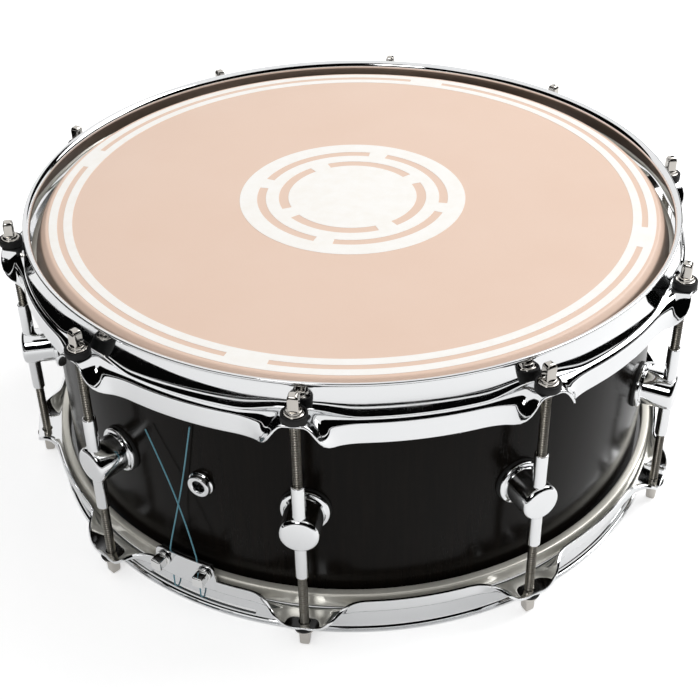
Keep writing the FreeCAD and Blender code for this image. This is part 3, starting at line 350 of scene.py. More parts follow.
def break_edges(piece: Piece, width: float, sharp: float = 50.0) -> None:
    """Rounds the edges of a piece that turn by more than the angle sharp."""
    finish_with(piece, "BEVEL", width=width * MM, segments=BEVEL_STEPS, limit_method="ANGLE",
                angle_limit=math.radians(sharp))


def thicken(piece: Piece, thickness: float, **settings: object) -> None:
    """Gives a surface a thickness, half of it on each side."""
    finish_with(piece, "SOLIDIFY", thickness=thickness * MM, offset=0.0, **settings)


def wind(line: Piece, pitch: float, length: float, steps: int) -> None:
    """Winds a drawn line up about the upright axis, as a thread or a coil.

    Args:
        line: Drawn line, still in edit mode.
        pitch: Rise of one turn.
        length: Length to fill with whole turns.
        steps: Faces in one turn.
    """
    bpy.ops.object.mode_set(mode="OBJECT")
    finish_with(line, "SCREW", screw_offset=pitch * MM, iterations=round(length / pitch), steps=steps,
                render_steps=steps, use_merge_vertices=True, merge_threshold=WELD)


def cut_out(piece: Piece, cutters: Sequence[Piece]) -> None:
    """Cuts the shapes of some cutters out of a piece, and removes the cutters.

    Args:
        piece: Piece to cut.
        cutters: Shapes to cut out of it.
    """
    for cutter in cutters:
        finish_with(piece, "BOOLEAN", operation="DIFFERENCE", solver="EXACT", object=cutter)
        bpy.data.objects.remove(cutter)


def pick_faces(piece: Piece, test: Callable[[Vector], bool]) -> None:
    """Selects the faces whose middles pass a test, and stays in edit mode.

    Args:
        piece: Piece whose faces are picked.
        test: Says of a face's middle, in metres, whether the face is picked.
    """
    take(piece)
    bpy.ops.object.mode_set(mode="EDIT")
    bpy.ops.mesh.select_mode(type="FACE")
    bpy.ops.mesh.select_all(action="DESELECT")
    bpy.ops.object.mode_set(mode="OBJECT")
    for face in piece.data.polygons:
        face.select = test(face.center)
    bpy.ops.object.mode_set(mode="EDIT")


def join(name: str, parts: Sequence[Piece]) -> Piece:
    """Joins the shapes of one solid piece into one object.

    Args:
        name: Name of the joined piece.
        parts: Its shapes.

    Returns:
        The joined piece.
    """
    take(parts[0])
    for part in parts:
        part.select_set(True)
    bpy.ops.object.join()
    parts[0].name = name
    return parts[0]


def copies(piece: Piece, count: int) -> list[Piece]:
    """Copies a piece, each copy with its own mesh.

    Args:
        piece: Piece to copy, which becomes the first.
        count: Number of pieces in all.

    Returns:
        The piece and its copies.
    """
    pieces = [piece]
    while len(pieces) < count:
        take(piece)
        bpy.ops.object.duplicate()
        pieces.append(bpy.context.object)
    return pieces


def ring_of(piece: Piece, names: Sequence[str]) -> list[Piece]:
    """Copies a piece that stands at angle 0 to the angles of the lugs.

    Args:
        piece: The model, which becomes the first of the ring.
        names: Names of the pieces, in the order of the lugs.

    Returns:
        One piece for each lug.
    """
    pieces = copies(piece, len(names))
    for number, (copy, name) in enumerate(zip(pieces, names)):
        copy.name = name
        swing(copy, LUG_START + LUG_STEP * number)
    return pieces


def numbered(stem: str) -> list[str]:
    """Gives the names of ten repeated pieces."""
    return [f"{stem}_{number:02d}" for number in range(1, LUG_COUNT + 1)]


def linear(tint: str) -> Corner:
    """Turns an sRGB hex value into linear colour.

    Args:
        tint: Six hex digits after a hash sign.

    Returns:
        Red, green, blue and an alpha of 1.
    """
    parts = [int(tint[start:start + 2], 16) / 255.0 for start in (1, 3, 5)]
    # The numbers are those of the sRGB curve.
    lit = [((part + 0.055) / 1.055) ** 2.4 if part > 0.04045 else part / 12.92 for part in parts]
    return (*lit, 1.0)


def per_size(size: float) -> float:
    """Gives the texture scale at which a pattern's features have a size in millimetres."""
    return 1.0 / (size * MM)


def feed(tree: Tree, node: bpy.types.Node, inputs: dict) -> None:
    """Sets or links the inputs of a node.

    Args:
        tree: Node tree that the node is in.
        node: Node to feed.
        inputs: Values or output sockets, by the name or number of the node's input.
    """
    for name, value in inputs.items():
        if isinstance(value, Socket):
            tree.links.new(value, node.inputs[name])
        else:
            node.inputs[name].default_value = value


def add_node(tree: Tree, kind: str, inputs: dict, **settings: object) -> bpy.types.Node:
    """Adds a node with its settings, values and links.

    Args:
        tree: Node tree of the material.
        kind: Type of the node, without the start that all types share.
        inputs: Values or output sockets, by the name or number of the node's input.
        settings: Properties of the node.

    Returns:
        The new node.
    """
    made = tree.nodes.new(f"ShaderNode{kind}")
    for name, value in settings.items():
        setattr(made, name, value)
    feed(tree, made, inputs)
    return made


@dataclass(frozen=True)
class Finish:
    """A finish: its material's name, the record's slot that it fills, and its main colour."""

    name: str
    slot: str
    tint: str

    def material(self) -> bpy.types.Material:
        """Gives the finish's material, and makes it the first time.

        Returns:
            The material, the same one for every piece with this finish.
        """
        known = bpy.data.materials.get(self.name)
        if known is not None:
            return known
        material = bpy.data.materials.new(self.name)
        material.use_nodes = True
        tree = material.node_tree
        shader = tree.nodes["Principled BSDF"]
        place = add_node(tree, "TexCoord", {}).outputs["Object"]
        feed(tree, shader, {"Base Color": linear(self.tint)})
        feed(tree, shader, self.shade(tree, place))
        return material

    def shade(self, tree: Tree, place: Socket) -> dict[str, object]:
        """Works out what the shader gets; each finish has its own way.

        Args:
            tree: Node tree of the material.
            place: The place on the object.

        Returns:
            Values or output sockets, by the name of the shader's input.
        """
        raise NotImplementedError(self.name)


@dataclass(frozen=True)
class ChromePlate(Finish):
    """Chromium plate over polished steel or brass: a mirror, with a breath of haze where hands touch it."""

    haze_size: float = 16.0
    haze_from: float = 0.4
    haze_to: float = 0.75
    clean: float = 0.035
    hazy: float = 0.11
    wave_size: float = 9.0
    wave: float = 0.02
    wave_depth: float = 0.3

    def shade(self, tree: Tree, place: Socket) -> dict[str, object]:
        """Mirror metal with a patchy roughness and the faint wave of a polished pressing."""
        haze = add_node(tree, "TexNoise", {"Vector": place, "Scale": per_size(self.haze_size), "Detail": 5.0})
        rough = add_node(tree, "MapRange", {
            "Value": haze.outputs["Fac"], "From Min": self.haze_from, "From Max": self.haze_to,
            "To Min": self.clean, "To Max": self.hazy,
        })
        wave = add_node(tree, "TexNoise", {"Vector": place, "Scale": per_size(self.wave_size), "Detail": 1.0})
        bump = add_node(tree, "Bump", {
            "Height": wave.outputs["Fac"], "Strength": self.wave, "Distance": self.wave_depth * MM,
        })
        return {"Metallic": 1.0, "Roughness": rough.outputs["Result"], "Normal": bump.outputs["Normal"]}


@dataclass(frozen=True)
class WornPlate(Finish):
    """Zinc plate, bare steel or drawn aluminium: soft metal with stains and fine drawing lines."""

    stain: str
    rough: float = 0.3
    stain_size: float = 7.0
    stain_from: float = 0.3
    stain_to: float = 0.7
    smoothest: float = 0.75
    roughest: float = 1.35
    line_size: float = 0.8
    line_stretch: Corner = (0.06, 0.06, 1.0)
    line_strength: float = 0.25
    line_depth: float = 0.02
    metal: float = 1.0

    def shade(self, tree: Tree, place: Socket) -> dict[str, object]:
        """Metal whose colour drifts towards the stain, with lines round the piece."""
        cloud = add_node(tree, "TexNoise", {
            "Vector": place, "Scale": per_size(self.stain_size), "Detail": 4.0, "Roughness": 0.6,
        })
        colour = add_node(tree, "Mix", {
            0: cloud.outputs["Fac"], 6: linear(self.tint), 7: linear(self.stain),
        }, data_type="RGBA")
        rough = add_node(tree, "MapRange", {
            "Value": cloud.outputs["Fac"], "From Min": self.stain_from, "From Max": self.stain_to,
            "To Min": self.rough * self.smoothest, "To Max": self.rough * self.roughest,
        })
        # Real drawing lines are about 0.1 mm apart; they are drawn coarser, so that they show.
        flat = add_node(tree, "Mapping", {"Vector": place, "Scale": self.line_stretch})
        lines = add_node(tree, "TexNoise", {
            "Vector": flat.outputs["Vector"], "Scale": per_size(self.line_size), "Detail": 2.0,
        })
        bump = add_node(tree, "Bump", {
            "Height": lines.outputs["Fac"], "Strength": self.line_strength, "Distance": self.line_depth * MM,
        })
        return {
            "Metallic": self.metal, "Base Color": colour.outputs[2], "Roughness": rough.outputs["Result"],
            "Normal": bump.outputs["Normal"],
        }


@dataclass(frozen=True)
class RodNickel(Finish):
    """Nickel plate on a tension rod: bright on the turned head, dull and greyer on the rolled thread."""

    dull: str
    bright_rough: float = 0.1
    dull_rough: float = 0.3
    thread_low: float = 13.2
    thread_high: float = 152.0
    speck: float = 1.3
    speck_from: float = 0.3
    speck_to: float = 0.62
    least_dull: float = 0.45

    def shade(self, tree: Tree, place: Socket) -> dict[str, object]:
        """Metal that turns dull between the levels of the two heads' collars."""
        level = add_node(tree, "SeparateXYZ", {"Vector": place}).outputs["Z"]
        above = add_node(tree, "Math", {0: level, 1: self.thread_low * MM}, operation="GREATER_THAN")
        below = add_node(tree, "Math", {0: level, 1: self.thread_high * MM}, operation="LESS_THAN")
        thread = add_node(tree, "Math", {
            0: above.outputs["Value"], 1: below.outputs["Value"],
        }, operation="MULTIPLY")
        specks = add_node(tree, "TexNoise", {
            "Vector": place, "Scale": per_size(self.speck), "Detail": 3.0, "Roughness": 0.7,
        })
        dulled = add_node(tree, "MapRange", {
            "Value": specks.outputs["Fac"], "From Min": self.speck_from, "From Max": self.speck_to,
            "To Min": 1.0, "To Max": self.least_dull,
        })
        share = add_node(tree, "Math", {
            0: thread.outputs["Value"], 1: dulled.outputs["Result"],
        }, operation="MULTIPLY")
        colour = add_node(tree, "Mix", {
            0: share.outputs["Value"], 6: linear(self.tint), 7: linear(self.dull),
        }, data_type="RGBA")
        rough = add_node(tree, "MapRange", {
            "Value": thread.outputs["Value"], "To Min": self.bright_rough, "To Max": self.dull_rough,
        })
        return {"Metallic": 1.0, "Base Color": colour.outputs[2], "Roughness": rough.outputs["Result"]}


@dataclass(frozen=True)
class CoatedFilm(Finish):
    """Polyester film with a sprayed matt coat: warm, mottled and sandy, with its collar darkened by painted
    shade for the gap between film and hoop.
    """

    # The bare colour is the film's collar past the bearing edge, darkened with painted shade for the gap
    # between film and hoop.
    bare: str
    mottle: str
    collar_shade_from: float = 176.2
    collar_shade_to: float = 177.4
    mottle_size: float = 55.0
    grit: float = 1.1
    grit_strength: float = 0.35
    grit_depth: float = 0.12
    rough: float = 0.42
    gloss: float = 0.4

    def shade(self, tree: Tree, place: Socket) -> dict[str, object]:
        """Colour by cloud, with painted shade on the collar by radius, and the grain of the coat as bump."""
        flat = add_node(tree, "VectorMath", {0: place, 1: (1.0, 1.0, 0.0)}, operation="MULTIPLY")
        radius = add_node(tree, "VectorMath", {0: flat.outputs["Vector"]}, operation="LENGTH")
        # Painted shade: past these radii the colour turns to the dark bare colour, for the shadowed gap
        # between film and hoop.
        rim = add_node(tree, "MapRange", {
            "Value": radius.outputs["Value"], "From Min": self.collar_shade_from * MM, "From Max": self.collar_shade_to * MM,
        }, interpolation_type="SMOOTHSTEP")
        cloud = add_node(tree, "TexNoise", {
            "Vector": place, "Scale": per_size(self.mottle_size), "Detail": 5.0, "Roughness": 0.6,
        })
        body = add_node(tree, "Mix", {
            0: cloud.outputs["Fac"], 6: linear(self.tint), 7: linear(self.mottle),
        }, data_type="RGBA")
        colour = add_node(tree, "Mix", {
            0: rim.outputs["Result"], 6: body.outputs[2], 7: linear(self.bare),
        }, data_type="RGBA")
        # The coat's grit is near 0.3 mm; it is drawn coarser, so that it shows.
        grain = add_node(tree, "TexNoise", {"Vector": place, "Scale": per_size(self.grit), "Detail": 3.0})
        bump = add_node(tree, "Bump", {
            "Height": grain.outputs["Fac"], "Strength": self.grit_strength, "Distance": self.grit_depth * MM,
        })
        return {
            "Base Color": colour.outputs[2], "Roughness": self.rough, "Specular IOR Level": self.gloss,
            "Normal": bump.outputs["Normal"],
        }


@dataclass(frozen=True)
class ClearFilm(Finish):
    """Thin clear polyester film, hazy from its rolling: a pale veil with soft highlights."""

    cover: float = 0.45
    haze_size: float = 30.0
    clean: float = 0.15
    hazy: float = 0.4

    def shade(self, tree: Tree, place: Socket) -> dict[str, object]:
        """A see-through skin with uneven gloss."""
        haze = add_node(tree, "TexNoise", {"Vector": place, "Scale": per_size(self.haze_size), "Detail": 4.0})
        rough = add_node(tree, "MapRange", {
            "Value": haze.outputs["Fac"], "To Min": self.clean, "To Max": self.hazy,
        })
        return {"Alpha": self.cover, "Roughness": rough.outputs["Result"]}


@dataclass(frozen=True)
class MattSkin(Finish):
    """Printed ink, nylon, rubber or paint: one pigment with a fine tooth and slightly worn high spots."""

    worn: str
    rough: float = 0.6
    tooth: float = 0.9
    tooth_strength: float = 0.3
    depth: float = 0.06
    patch: float = 8.1
    wear_from: float = 0.4
    wear_to: float = 0.8
    gloss: float = 0.4

    def shade(self, tree: Tree, place: Socket) -> dict[str, object]:
        """Pigment with a cloud of wear and a fine tooth."""
        cloud = add_node(tree, "TexNoise", {
            "Vector": place, "Scale": per_size(self.patch), "Detail": 6.0, "Roughness": 0.65,
        })
        wear = add_node(tree, "MapRange", {
            "Value": cloud.outputs["Fac"], "From Min": self.wear_from, "From Max": self.wear_to,
        })
        colour = add_node(tree, "Mix", {
            0: wear.outputs["Result"], 6: linear(self.tint), 7: linear(self.worn),
        }, data_type="RGBA")
        tooth = add_node(tree, "TexNoise", {"Vector": place, "Scale": per_size(self.tooth), "Detail": 2.0})
        bump = add_node(tree, "Bump", {
            "Height": tooth.outputs["Fac"], "Strength": self.tooth_strength, "Distance": self.depth * MM,
        })
        return {
            "Base Color": colour.outputs[2], "Roughness": self.rough, "Specular IOR Level": self.gloss,
            "Normal": bump.outputs["Normal"],
        }


@dataclass(frozen=True)
class SatinLacquer(Finish):
    """Black lacquer over maple plies: deep, with a soft gloss, a warm cast and a trace of upright grain."""

    warm: str
    grain_width: float = 2.2
    grain_stretch: Corner = (1.0, 1.0, 0.05)
    grain_from: float = 0.4
    grain_to: float = 0.75
    grain_strength: float = 0.15
    grain_depth: float = 0.05
    rough: float = 0.2
    gloss: float = 0.07

    def shade(self, tree: Tree, place: Socket) -> dict[str, object]:
        """Dark colour with long upright grain under a thin coat."""
        drawn = add_node(tree, "Mapping", {"Vector": place, "Scale": self.grain_stretch})
        grain = add_node(tree, "TexNoise", {
            "Vector": drawn.outputs["Vector"], "Scale": per_size(self.grain_width), "Detail": 4.0,
            "Roughness": 0.6,
        })
        share = add_node(tree, "MapRange", {
            "Value": grain.outputs["Fac"], "From Min": self.grain_from, "From Max": self.grain_to,
        })
        colour = add_node(tree, "Mix", {
            0: share.outputs["Result"], 6: linear(self.tint), 7: linear(self.warm),
        }, data_type="RGBA")
        bump = add_node(tree, "Bump", {
            "Height": grain.outputs["Fac"], "Strength": self.grain_strength,
            "Distance": self.grain_depth * MM,
        })
        return {
            "Base Color": colour.outputs[2], "Roughness": self.rough, "Specular IOR Level": self.gloss,
            "Normal": bump.outputs["Normal"],
        }


@dataclass(frozen=True)
class BraidedCord(Finish):
    """Braided nylon cord: two shades of yarn that cross at a slant."""

    second: str
    band_size: float = 3.0
    slant: float = 2.0
    yarn_strength: float = 0.4
    yarn_depth: float = 0.1
    rough: float = 0.6
    sheen: float = 0.3

    def shade(self, tree: Tree, place: Socket) -> dict[str, object]:
        """Slanted bands of two yarn colours with a soft sheen."""
        # The yarn is about 0.2 mm wide; the bands are drawn wider, so that they show.
        bands = add_node(tree, "TexWave", {
            "Vector": place, "Scale": per_size(self.band_size), "Distortion": self.slant, "Detail": 1.0,
        }, bands_direction="DIAGONAL")
        colour = add_node(tree, "Mix", {
            0: bands.outputs["Fac"], 6: linear(self.tint), 7: linear(self.second),
        }, data_type="RGBA")
        bump = add_node(tree, "Bump", {
            "Height": bands.outputs["Fac"], "Strength": self.yarn_strength, "Distance": self.yarn_depth * MM,
        })
        return {
            "Base Color": colour.outputs[2], "Roughness": self.rough, "Sheen Weight": self.sheen,
            "Normal": bump.outputs["Normal"],
        }


HOOP_CHROME = ChromePlate("chromium plate on pressed steel", "hoop_chrome", "#E6E7E8")
LUG_CHROME = ChromePlate("chromium plate on turned brass", "lug_chrome", "#E6E7E8", wave=0.0)
VENT_CHROME = ChromePlate("chromium plate on spun brass", "vent_chrome", "#E6E7E8", wave=0.0)
SCREW_CHROME = ChromePlate("chromium plate on screw steel", "clamp_screw", "#EDEDEC", wave=0.0)
STRAINER_CHROME = ChromePlate("chromium plate on cast zinc", "strainer_chrome", "#EDEEEF")
ROD_NICKEL = RodNickel("nickel plate on rolled thread", "rod_nickel", "#C2BEB8", "#8C877B")
DRAWN_ALUMINIUM = WornPlate("drawn aluminium", "flesh_hoop", "#F0EDE4", "#D9D6CB", rough=0.36,
                            stain_size=40.0, metal=0.55)
ZINC_STEEL = WornPlate("zinc plate on steel", "plain_steel", "#C2C4C4", "#9B9C98")
SNARE_STEEL = WornPlate("bare spring steel", "snare_wire", "#C9C9C6", "#A5A49F", rough=0.25)
# The film's second colour carries painted shade for the collar in the gap by the hoop.
PEACH_FILM = CoatedFilm("coated polyester film", "batter_film", "#EBD0BE", "#8A7769", "#E6C8B4")
CLEAR_FILM = ClearFilm("clear polyester film", "snare_film", "#E6EAEA")
CREAM_INK = MattSkin("cream printed coat", "print", "#FBF9F5", "#F7F3EC", rough=0.5)
BLACK_LACQUER = SatinLacquer("satin lacquer on maple", "shell", "#0E0C0A", "#15110E")
BLACK_RUBBER = MattSkin("black rubber", "gasket", "#0E0E0E", "#1C1B1A", rough=0.7)
BLACK_NYLON = MattSkin("black nylon", "rod_washer", "#050505", "#0C0B0B")
BLACK_PAINT = MattSkin("black enamel on steel", "clamp_bar", "#070707", "#121211", rough=0.35)
BLUE_CORD = BraidedCord("blue braided nylon", "cord", "#5C98A8", "#4A8494")


def dress(piece: Piece, finish: Finish, body: str, *nodes: str) -> None:
    """Smooths a piece, gives it its finish and sets it on its body.

    Args:
        piece: Finished mesh or curve.
        finish: Its finish.
        body: Body of the frame that it rides on.
        nodes: Nodes of the frame that it stands for.
    """
    if piece.type == "MESH":
        take(piece)
        bpy.ops.object.shade_smooth_by_angle(angle=math.radians(SMOOTH_ANGLE))
    piece.data.name = piece.name
    piece.data.materials.clear()
    piece.data.materials.append(finish.material())
    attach(piece, body)
    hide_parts(*nodes)
    log.info("%s: %s, on %s", piece.name, finish.name, body)


def dress_ring(piece: Piece, stem: str, finish: Finish, node: str) -> None:
    """Copies a piece to the ten lugs and dresses the copies, which stand for one node of the drum."""
    for copy in ring_of(piece, numbered(stem)):
        dress(copy, finish, "drum", node)


def coat_nodes(finish: Finish, *nodes: str) -> None:
    """Gives the nodes of the frame that stay in view their finish.

    Args:
        finish: Their finish.
        nodes: Names of the nodes.
    """
    for node in nodes:
        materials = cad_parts[node].data.materials
        materials.clear()
        materials.append(finish.material())
        log.info("%s: %s, kept from the frame", node, finish.name)


@dataclass
class Shell:
    """The drum's shell, with its bearing edges and the vent in its side."""

    wall: float = 6.0
    edge: float = 3.0
    soft: float = 1.0
    vent_angle: float = 244.0
    vent_level: float = 82.6
    vent_bore: float = 3.5
    vent_barrel: float = 4.7
    vent_barrel_depth: float = 8.0
    vent_rim: float = 7.2
    vent_rim_low: float = 0.2
    vent_rim_high: float = 1.5
    vent_neck: float = 6.4
    vent_neck_low: float = 2.2
    vent_crown: float = 6.1
    vent_rise: float = 4.4
    vent_dish: float = 0.2
    drill_half: float = 20.0

    def build(self) -> None:
        """Models the shell and the vent, and dresses them."""
        span = Span.of("shell")
        inner = span.reach - self.wall
        crest = span.reach - self.edge
        low = span.low + self.edge
        high = span.high - self.edge
        shell = lathe("shell_wall", [
            (crest, span.low), (span.reach, low, self.soft), (span.reach, high, self.soft),
            (crest, span.high), (inner, high, self.soft), (inner, low, self.soft),
        ], ROUND_STEPS)
        drill = drill_rod("vent_drill", self.vent_barrel, -self.drill_half, self.drill_half, STEM_STEPS)
        vent = lathe("vent_ring", [
            (self.vent_bore, -self.vent_barrel_depth), (self.vent_barrel, -self.vent_barrel_depth),
            (self.vent_barrel, self.vent_rim_low), (self.vent_rim, self.vent_rim_low, 0.3),
            (self.vent_rim, self.vent_rim_high, 0.5), (self.vent_neck, self.vent_neck_low, 0.5),
            (self.vent_crown, self.vent_rise, 0.6), (self.vent_bore, self.vent_rise - self.vent_dish, 0.8),
        ], SCREW_STEPS)
        for piece in (drill, vent):
            lay_out(piece, self.vent_level, span.reach)
            swing(piece, self.vent_angle)
        cut_out(shell, [drill])
        dress(shell, BLACK_LACQUER, "drum", "shell")
        dress(vent, VENT_CHROME, "drum", "vent_grommet")
        coat_nodes(ZINC_STEEL, "vent_nut")


@dataclass(frozen=True)
class SlotRow:
    """A row of slots in a print: its radii, the angle of one bridge and the bridges' width."""

    inner: float
    outer: float
    bridge: float
    width: float


@dataclass(frozen=True)
class PrintedPattern:
    """A flat printed shape: a disc or ring with rows of slots that bridges part."""

    name: str
    node: str
    inner: float
    outer: float
    rows: tuple[SlotRow, ...]
    bridges: int = 4
    ink: float = 0.15

    def build(self, level: float) -> None:
        """Models the print on a film, and dresses it.

        Args:
            level: Level of the film's face.
        """
        radii = {self.inner, self.outer}
        for row in self.rows:
            radii.update((row.inner, row.outer))
        sheet = draw_line(self.name, [(radius, level) for radius in sorted(radii)], Plane.UPRIGHT)
        spin_round(FINE_STEPS)
        pick_faces(sheet, lambda middle: self.is_open(middle / MM))
        bpy.ops.mesh.delete(type="FACE")
        bpy.ops.mesh.select_mode(type="VERT")
        bpy.ops.mesh.select_all(action="SELECT")
        extrude((0.0, 0.0, self.ink))
        close_up()
        dress(sheet, CREAM_INK, "drum", self.node)

    def is_open(self, spot: Vector) -> bool:
        """Says whether a place in the print lies in one of its slots.

        Args:
            spot: The place in millimetres.

        Returns:
            Whether it lies in a slot.
        """
        radius = math.hypot(spot.x, spot.y)
        angle = math.degrees(math.atan2(spot.y, spot.x))
        pitch = 360.0 / self.bridges
        for row in self.rows:
            off = (angle - row.bridge + pitch / 2.0) % pitch - pitch / 2.0
            if row.inner < radius < row.outer and abs(off) > row.width / 2.0:
                return True
        return False


CENTRE_DOT = PrintedPattern("centre_dot_print", "centre_dot", inner=0.0, outer=65.0, rows=(
    SlotRow(inner=50.0, outer=55.0, bridge=73.0, width=11.5),
    SlotRow(inner=37.0, outer=42.5, bridge=28.0, width=15.5),
))
EDGE_RING = PrintedPattern("edge_ring_print", "control_ring", inner=159.3, outer=172.2, rows=(
    SlotRow(inner=164.2, outer=167.6, bridge=72.0, width=7.5),
))


@dataclass
class Head:
    """A head: film, printed coats, and the flesh hoop that the film is locked into."""

    side: str
    outward: float
    film: float
    finish: Finish
    rings: tuple[float, ...]
    bevel: float
    lead: float
    prints: tuple[PrintedPattern, ...] = ()
    crest: float = 174.0
    collar: float = 180.6
    lock: float = 3.0
    channel: float = 5.0
    channel_soft: Point = (1.0, 1.3)

    def build(self) -> None:
        """Models the head and dresses it."""
        film = Span.of(f"{self.side}_film")
        hoop = Span.of(f"{self.side}_flesh_hoop")
        face, seat = (film.high, hoop.high) if self.outward > 0.0 else (film.low, hoop.low)
        middle = face - self.outward * self.film / 2.0
        skin = lathe(f"{self.side}_skin", [
            *((radius, middle) for radius in self.rings), (self.crest, middle, 2.0),
            (self.crest + self.bevel, middle - self.outward * self.bevel, 2.0),
            (self.collar, seat + self.outward * self.lead, 1.0),
            (self.collar, seat - self.outward * self.lock),
        ], ROUND_STEPS, closed=False)
        thicken(skin, self.film)
        dress(skin, self.finish, "drum", f"{self.side}_film")
        for pattern in self.prints:
            pattern.build(face)
        section = band(hoop.reach - self.channel, hoop.reach, hoop.low, hoop.high, self.channel_soft)
        channel = lathe(f"{self.side}_flesh_ring", section, ROUND_STEPS)
        dress(channel, DRAWN_ALUMINIUM, "drum", f"{self.side}_flesh_hoop")


class Zone(Enum):
    """Zone of a hoop's section, from the lip to the skirt's free edge."""

    LIP = auto()
    FLARE = auto()
    FOOT = auto()
    FLAP = auto()


def arc_step(bend: float, first: float, last: float) -> Vector:
    """Gives the way from one end of an arc to the other.

    Args:
        bend: Radius of the arc.
        first: Heading at its start in degrees, 0 straight in from the lip and 90 outwards.
        last: Heading at its end.

    Returns:
        Way outwards, and way in from the lip.
    """
    start = math.radians(first)
    end = math.radians(last)
    way = Vector((math.cos(start) - math.cos(end), math.sin(end) - math.sin(start)))
    return way * math.copysign(bend, last - first)


@dataclass
class Counterhoop:
    """A pressed steel hoop: rolled lip, leaning wall, flared foot, and a skirt that opens into flat ears."""

    node: str
    lip: float
    inward: float
    ledge: float
    skirt: float
    tab_rise: float = 0.0
    lip_drop: float = 0.0
    sheet: float = 1.5
    lip_reach: float = 185.8
    lip_bend: float = 3.0
    lean: float = 11.0
    flare: float = 35.8
    ear_flare: float = 22.0
    flare_end: float = 25.0
    foot: float = 2.2
    foot_end: float = 75.0
    fold: float = 2.0
    scoop: float = 5.0
    ear_reach: float = 199.2
    ear_half: float = 3.5
    scoop_half: float = 22.0
    swell_half: float = 34.0
    ear_hole: float = 3.2
    drill_half: float = 8.0
    tab_half: float = 5.75
    tab_round: float = 4.0
    edge_round: float = 0.7
    edge_sharp: float = 60.0
    bend_rows: int = 8
    flap_rows: int = 16
    flap_crowd: float = 1.6

    def build(self, cutters: Sequence[Piece] = ()) -> None:
        """Models the hoop from one profile, opens its ears, cuts its holes and dresses it.

        Args:
            cutters: Shapes to cut out besides the ears' holes.
        """
        rows = [(zone, step / self.bend_rows) for zone in (Zone.LIP, Zone.FLARE, Zone.FOOT)
                for step in range(self.bend_rows + 1) if step or zone is not Zone.FOOT]
        rows += [(Zone.FLAP, (step / self.flap_rows) ** self.flap_crowd)
                 for step in range(1, self.flap_rows + 1)]
        spots = [self.spot(zone, share, length=self.skirt_length(0.0)) for zone, share in rows]
        section = [(x, self.lip + self.inward * y) for x, y in spots]
        hoop = lathe(f"{self.node}_pressing", section, FINE_STEPS, closed=False)
        for vertex in hoop.data.vertices:
            here = Vector((vertex.co.to_2d().length / MM, (vertex.co.z / MM - self.lip) * self.inward))
            row = min(range(len(rows)), key=lambda number: (spots[number] - here).length_squared)
            self.open_ear(vertex, *rows[row])
        thicken(hoop, self.sheet, use_even_offset=True)
        break_edges(hoop, self.edge_round, self.edge_sharp)
        cut_out(hoop, [self.ear_drill(), *cutters])
        dress(hoop, HOOP_CHROME, "drum", self.node)

    def wall_end(self) -> Vector:
        """Finds the foot of the wall, from which the flare starts.

        Returns:
            Radius, and depth below the lip.
        """
        rise = arc_step(self.ear_flare, self.lean, self.flare_end) + arc_step(self.foot, self.flare_end, 90.0)
        depth = self.ledge + self.sheet / 2.0 - rise.y
        top = self.spot(Zone.LIP, 1.0)
        return Vector((top.x + (depth - top.y) * math.tan(math.radians(self.lean)), depth))

    def flattest(self, swell: float) -> float:
        """Gives the heading at the foot's end in degrees, 90 where the sheet lies flat at an ear."""
        return self.foot_end + (90.0 - self.foot_end) * swell

    def bend(self, swell: float) -> float:
        """Gives the radius of the fold between foot and skirt, which swells towards an ear."""
        return self.fold + self.scoop * swell

    def spot(self, zone: Zone, share: float, down: float = 1.0, length: float = 0.0,
             swell: float = 0.0) -> Vector:
        """Gives a place on the section.

        Args:
            zone: Zone of the section.
            share: Share of the way along the zone.
            down: 0 at a flat ear, 1 where the skirt is upright.
            length: Length of the flap, from the flare's foot to the free edge.
            swell: 1 at an ear, 0 where the fold is at its tightest.

        Returns:
            Radius, and depth below the lip.
        """
        if zone is Zone.LIP:
            turned = -90.0 + (90.0 + self.lean) * share
            start = Vector((self.lip_reach, self.lip_drop + self.sheet / 2.0))
            return start + arc_step(self.lip_bend, -90.0, turned)
        place = self.wall_end()
        flare = self.flare + (self.ear_flare - self.flare) * swell
        if zone is Zone.FLARE:
            return place + arc_step(flare, self.lean, self.lean + (self.flare_end - self.lean) * share)
        place += arc_step(flare, self.lean, self.flare_end)
        flattest = self.flattest(swell)
        if zone is Zone.FOOT:
            heading = self.flare_end + (flattest - self.flare_end) * share
            return place + arc_step(self.foot, self.flare_end, heading)
        place += arc_step(self.foot, self.flare_end, flattest)
        bend = self.bend(swell)
        run = length * share
        turned = min(math.degrees(run / bend), flattest - 90.0 * (1.0 - down))
        heading = math.radians(flattest - turned)
        rest = run - bend * math.radians(turned)
        place += arc_step(bend, flattest, flattest - turned)
        return place + rest * Vector((math.sin(heading), math.cos(heading)))

    def skirt_length(self, swell: float) -> float:
        """Gives the length of the sheet from the flare's foot to the upright skirt's free edge."""
        bent = self.bend(swell) * math.radians(self.flattest(swell))
        return bent + self.skirt - self.spot(Zone.FLAP, 1.0, length=bent, swell=swell).y

    def open_ear(self, vertex: bpy.types.MeshVertex, zone: Zone, share: float) -> None:
        """Moves a point of the spun section to its place on the ear, the scoop or the tab.

        Args:
            vertex: Point of the hoop's mesh.
            zone: Zone of the section that it lies in.
            share: Share of the way along the zone.
        """
        angle = math.degrees(math.atan2(vertex.co.y, vertex.co.x))
        from_ear = (angle - LUG_START + LUG_STEP / 2.0) % LUG_STEP - LUG_STEP / 2.0
        aside = abs(math.radians(from_ear)) * ROD_CIRCLE - self.ear_half
        down = ease(aside / (self.scoop_half - self.ear_half))
        swell = 1.0 - ease(aside / (self.swell_half - self.ear_half))
        ear = self.ear_reach - self.spot(Zone.FOOT, 1.0, swell=1.0).x
        length = ear + (self.skirt_length(swell) + self.tab_extra(angle) - ear) * down
        radius, depth = self.spot(zone, share, down, length, swell)
        heading = math.radians(angle)
        level = self.lip + self.inward * depth
        vertex.co = Vector((radius * math.cos(heading), radius * math.sin(heading), level)) * MM

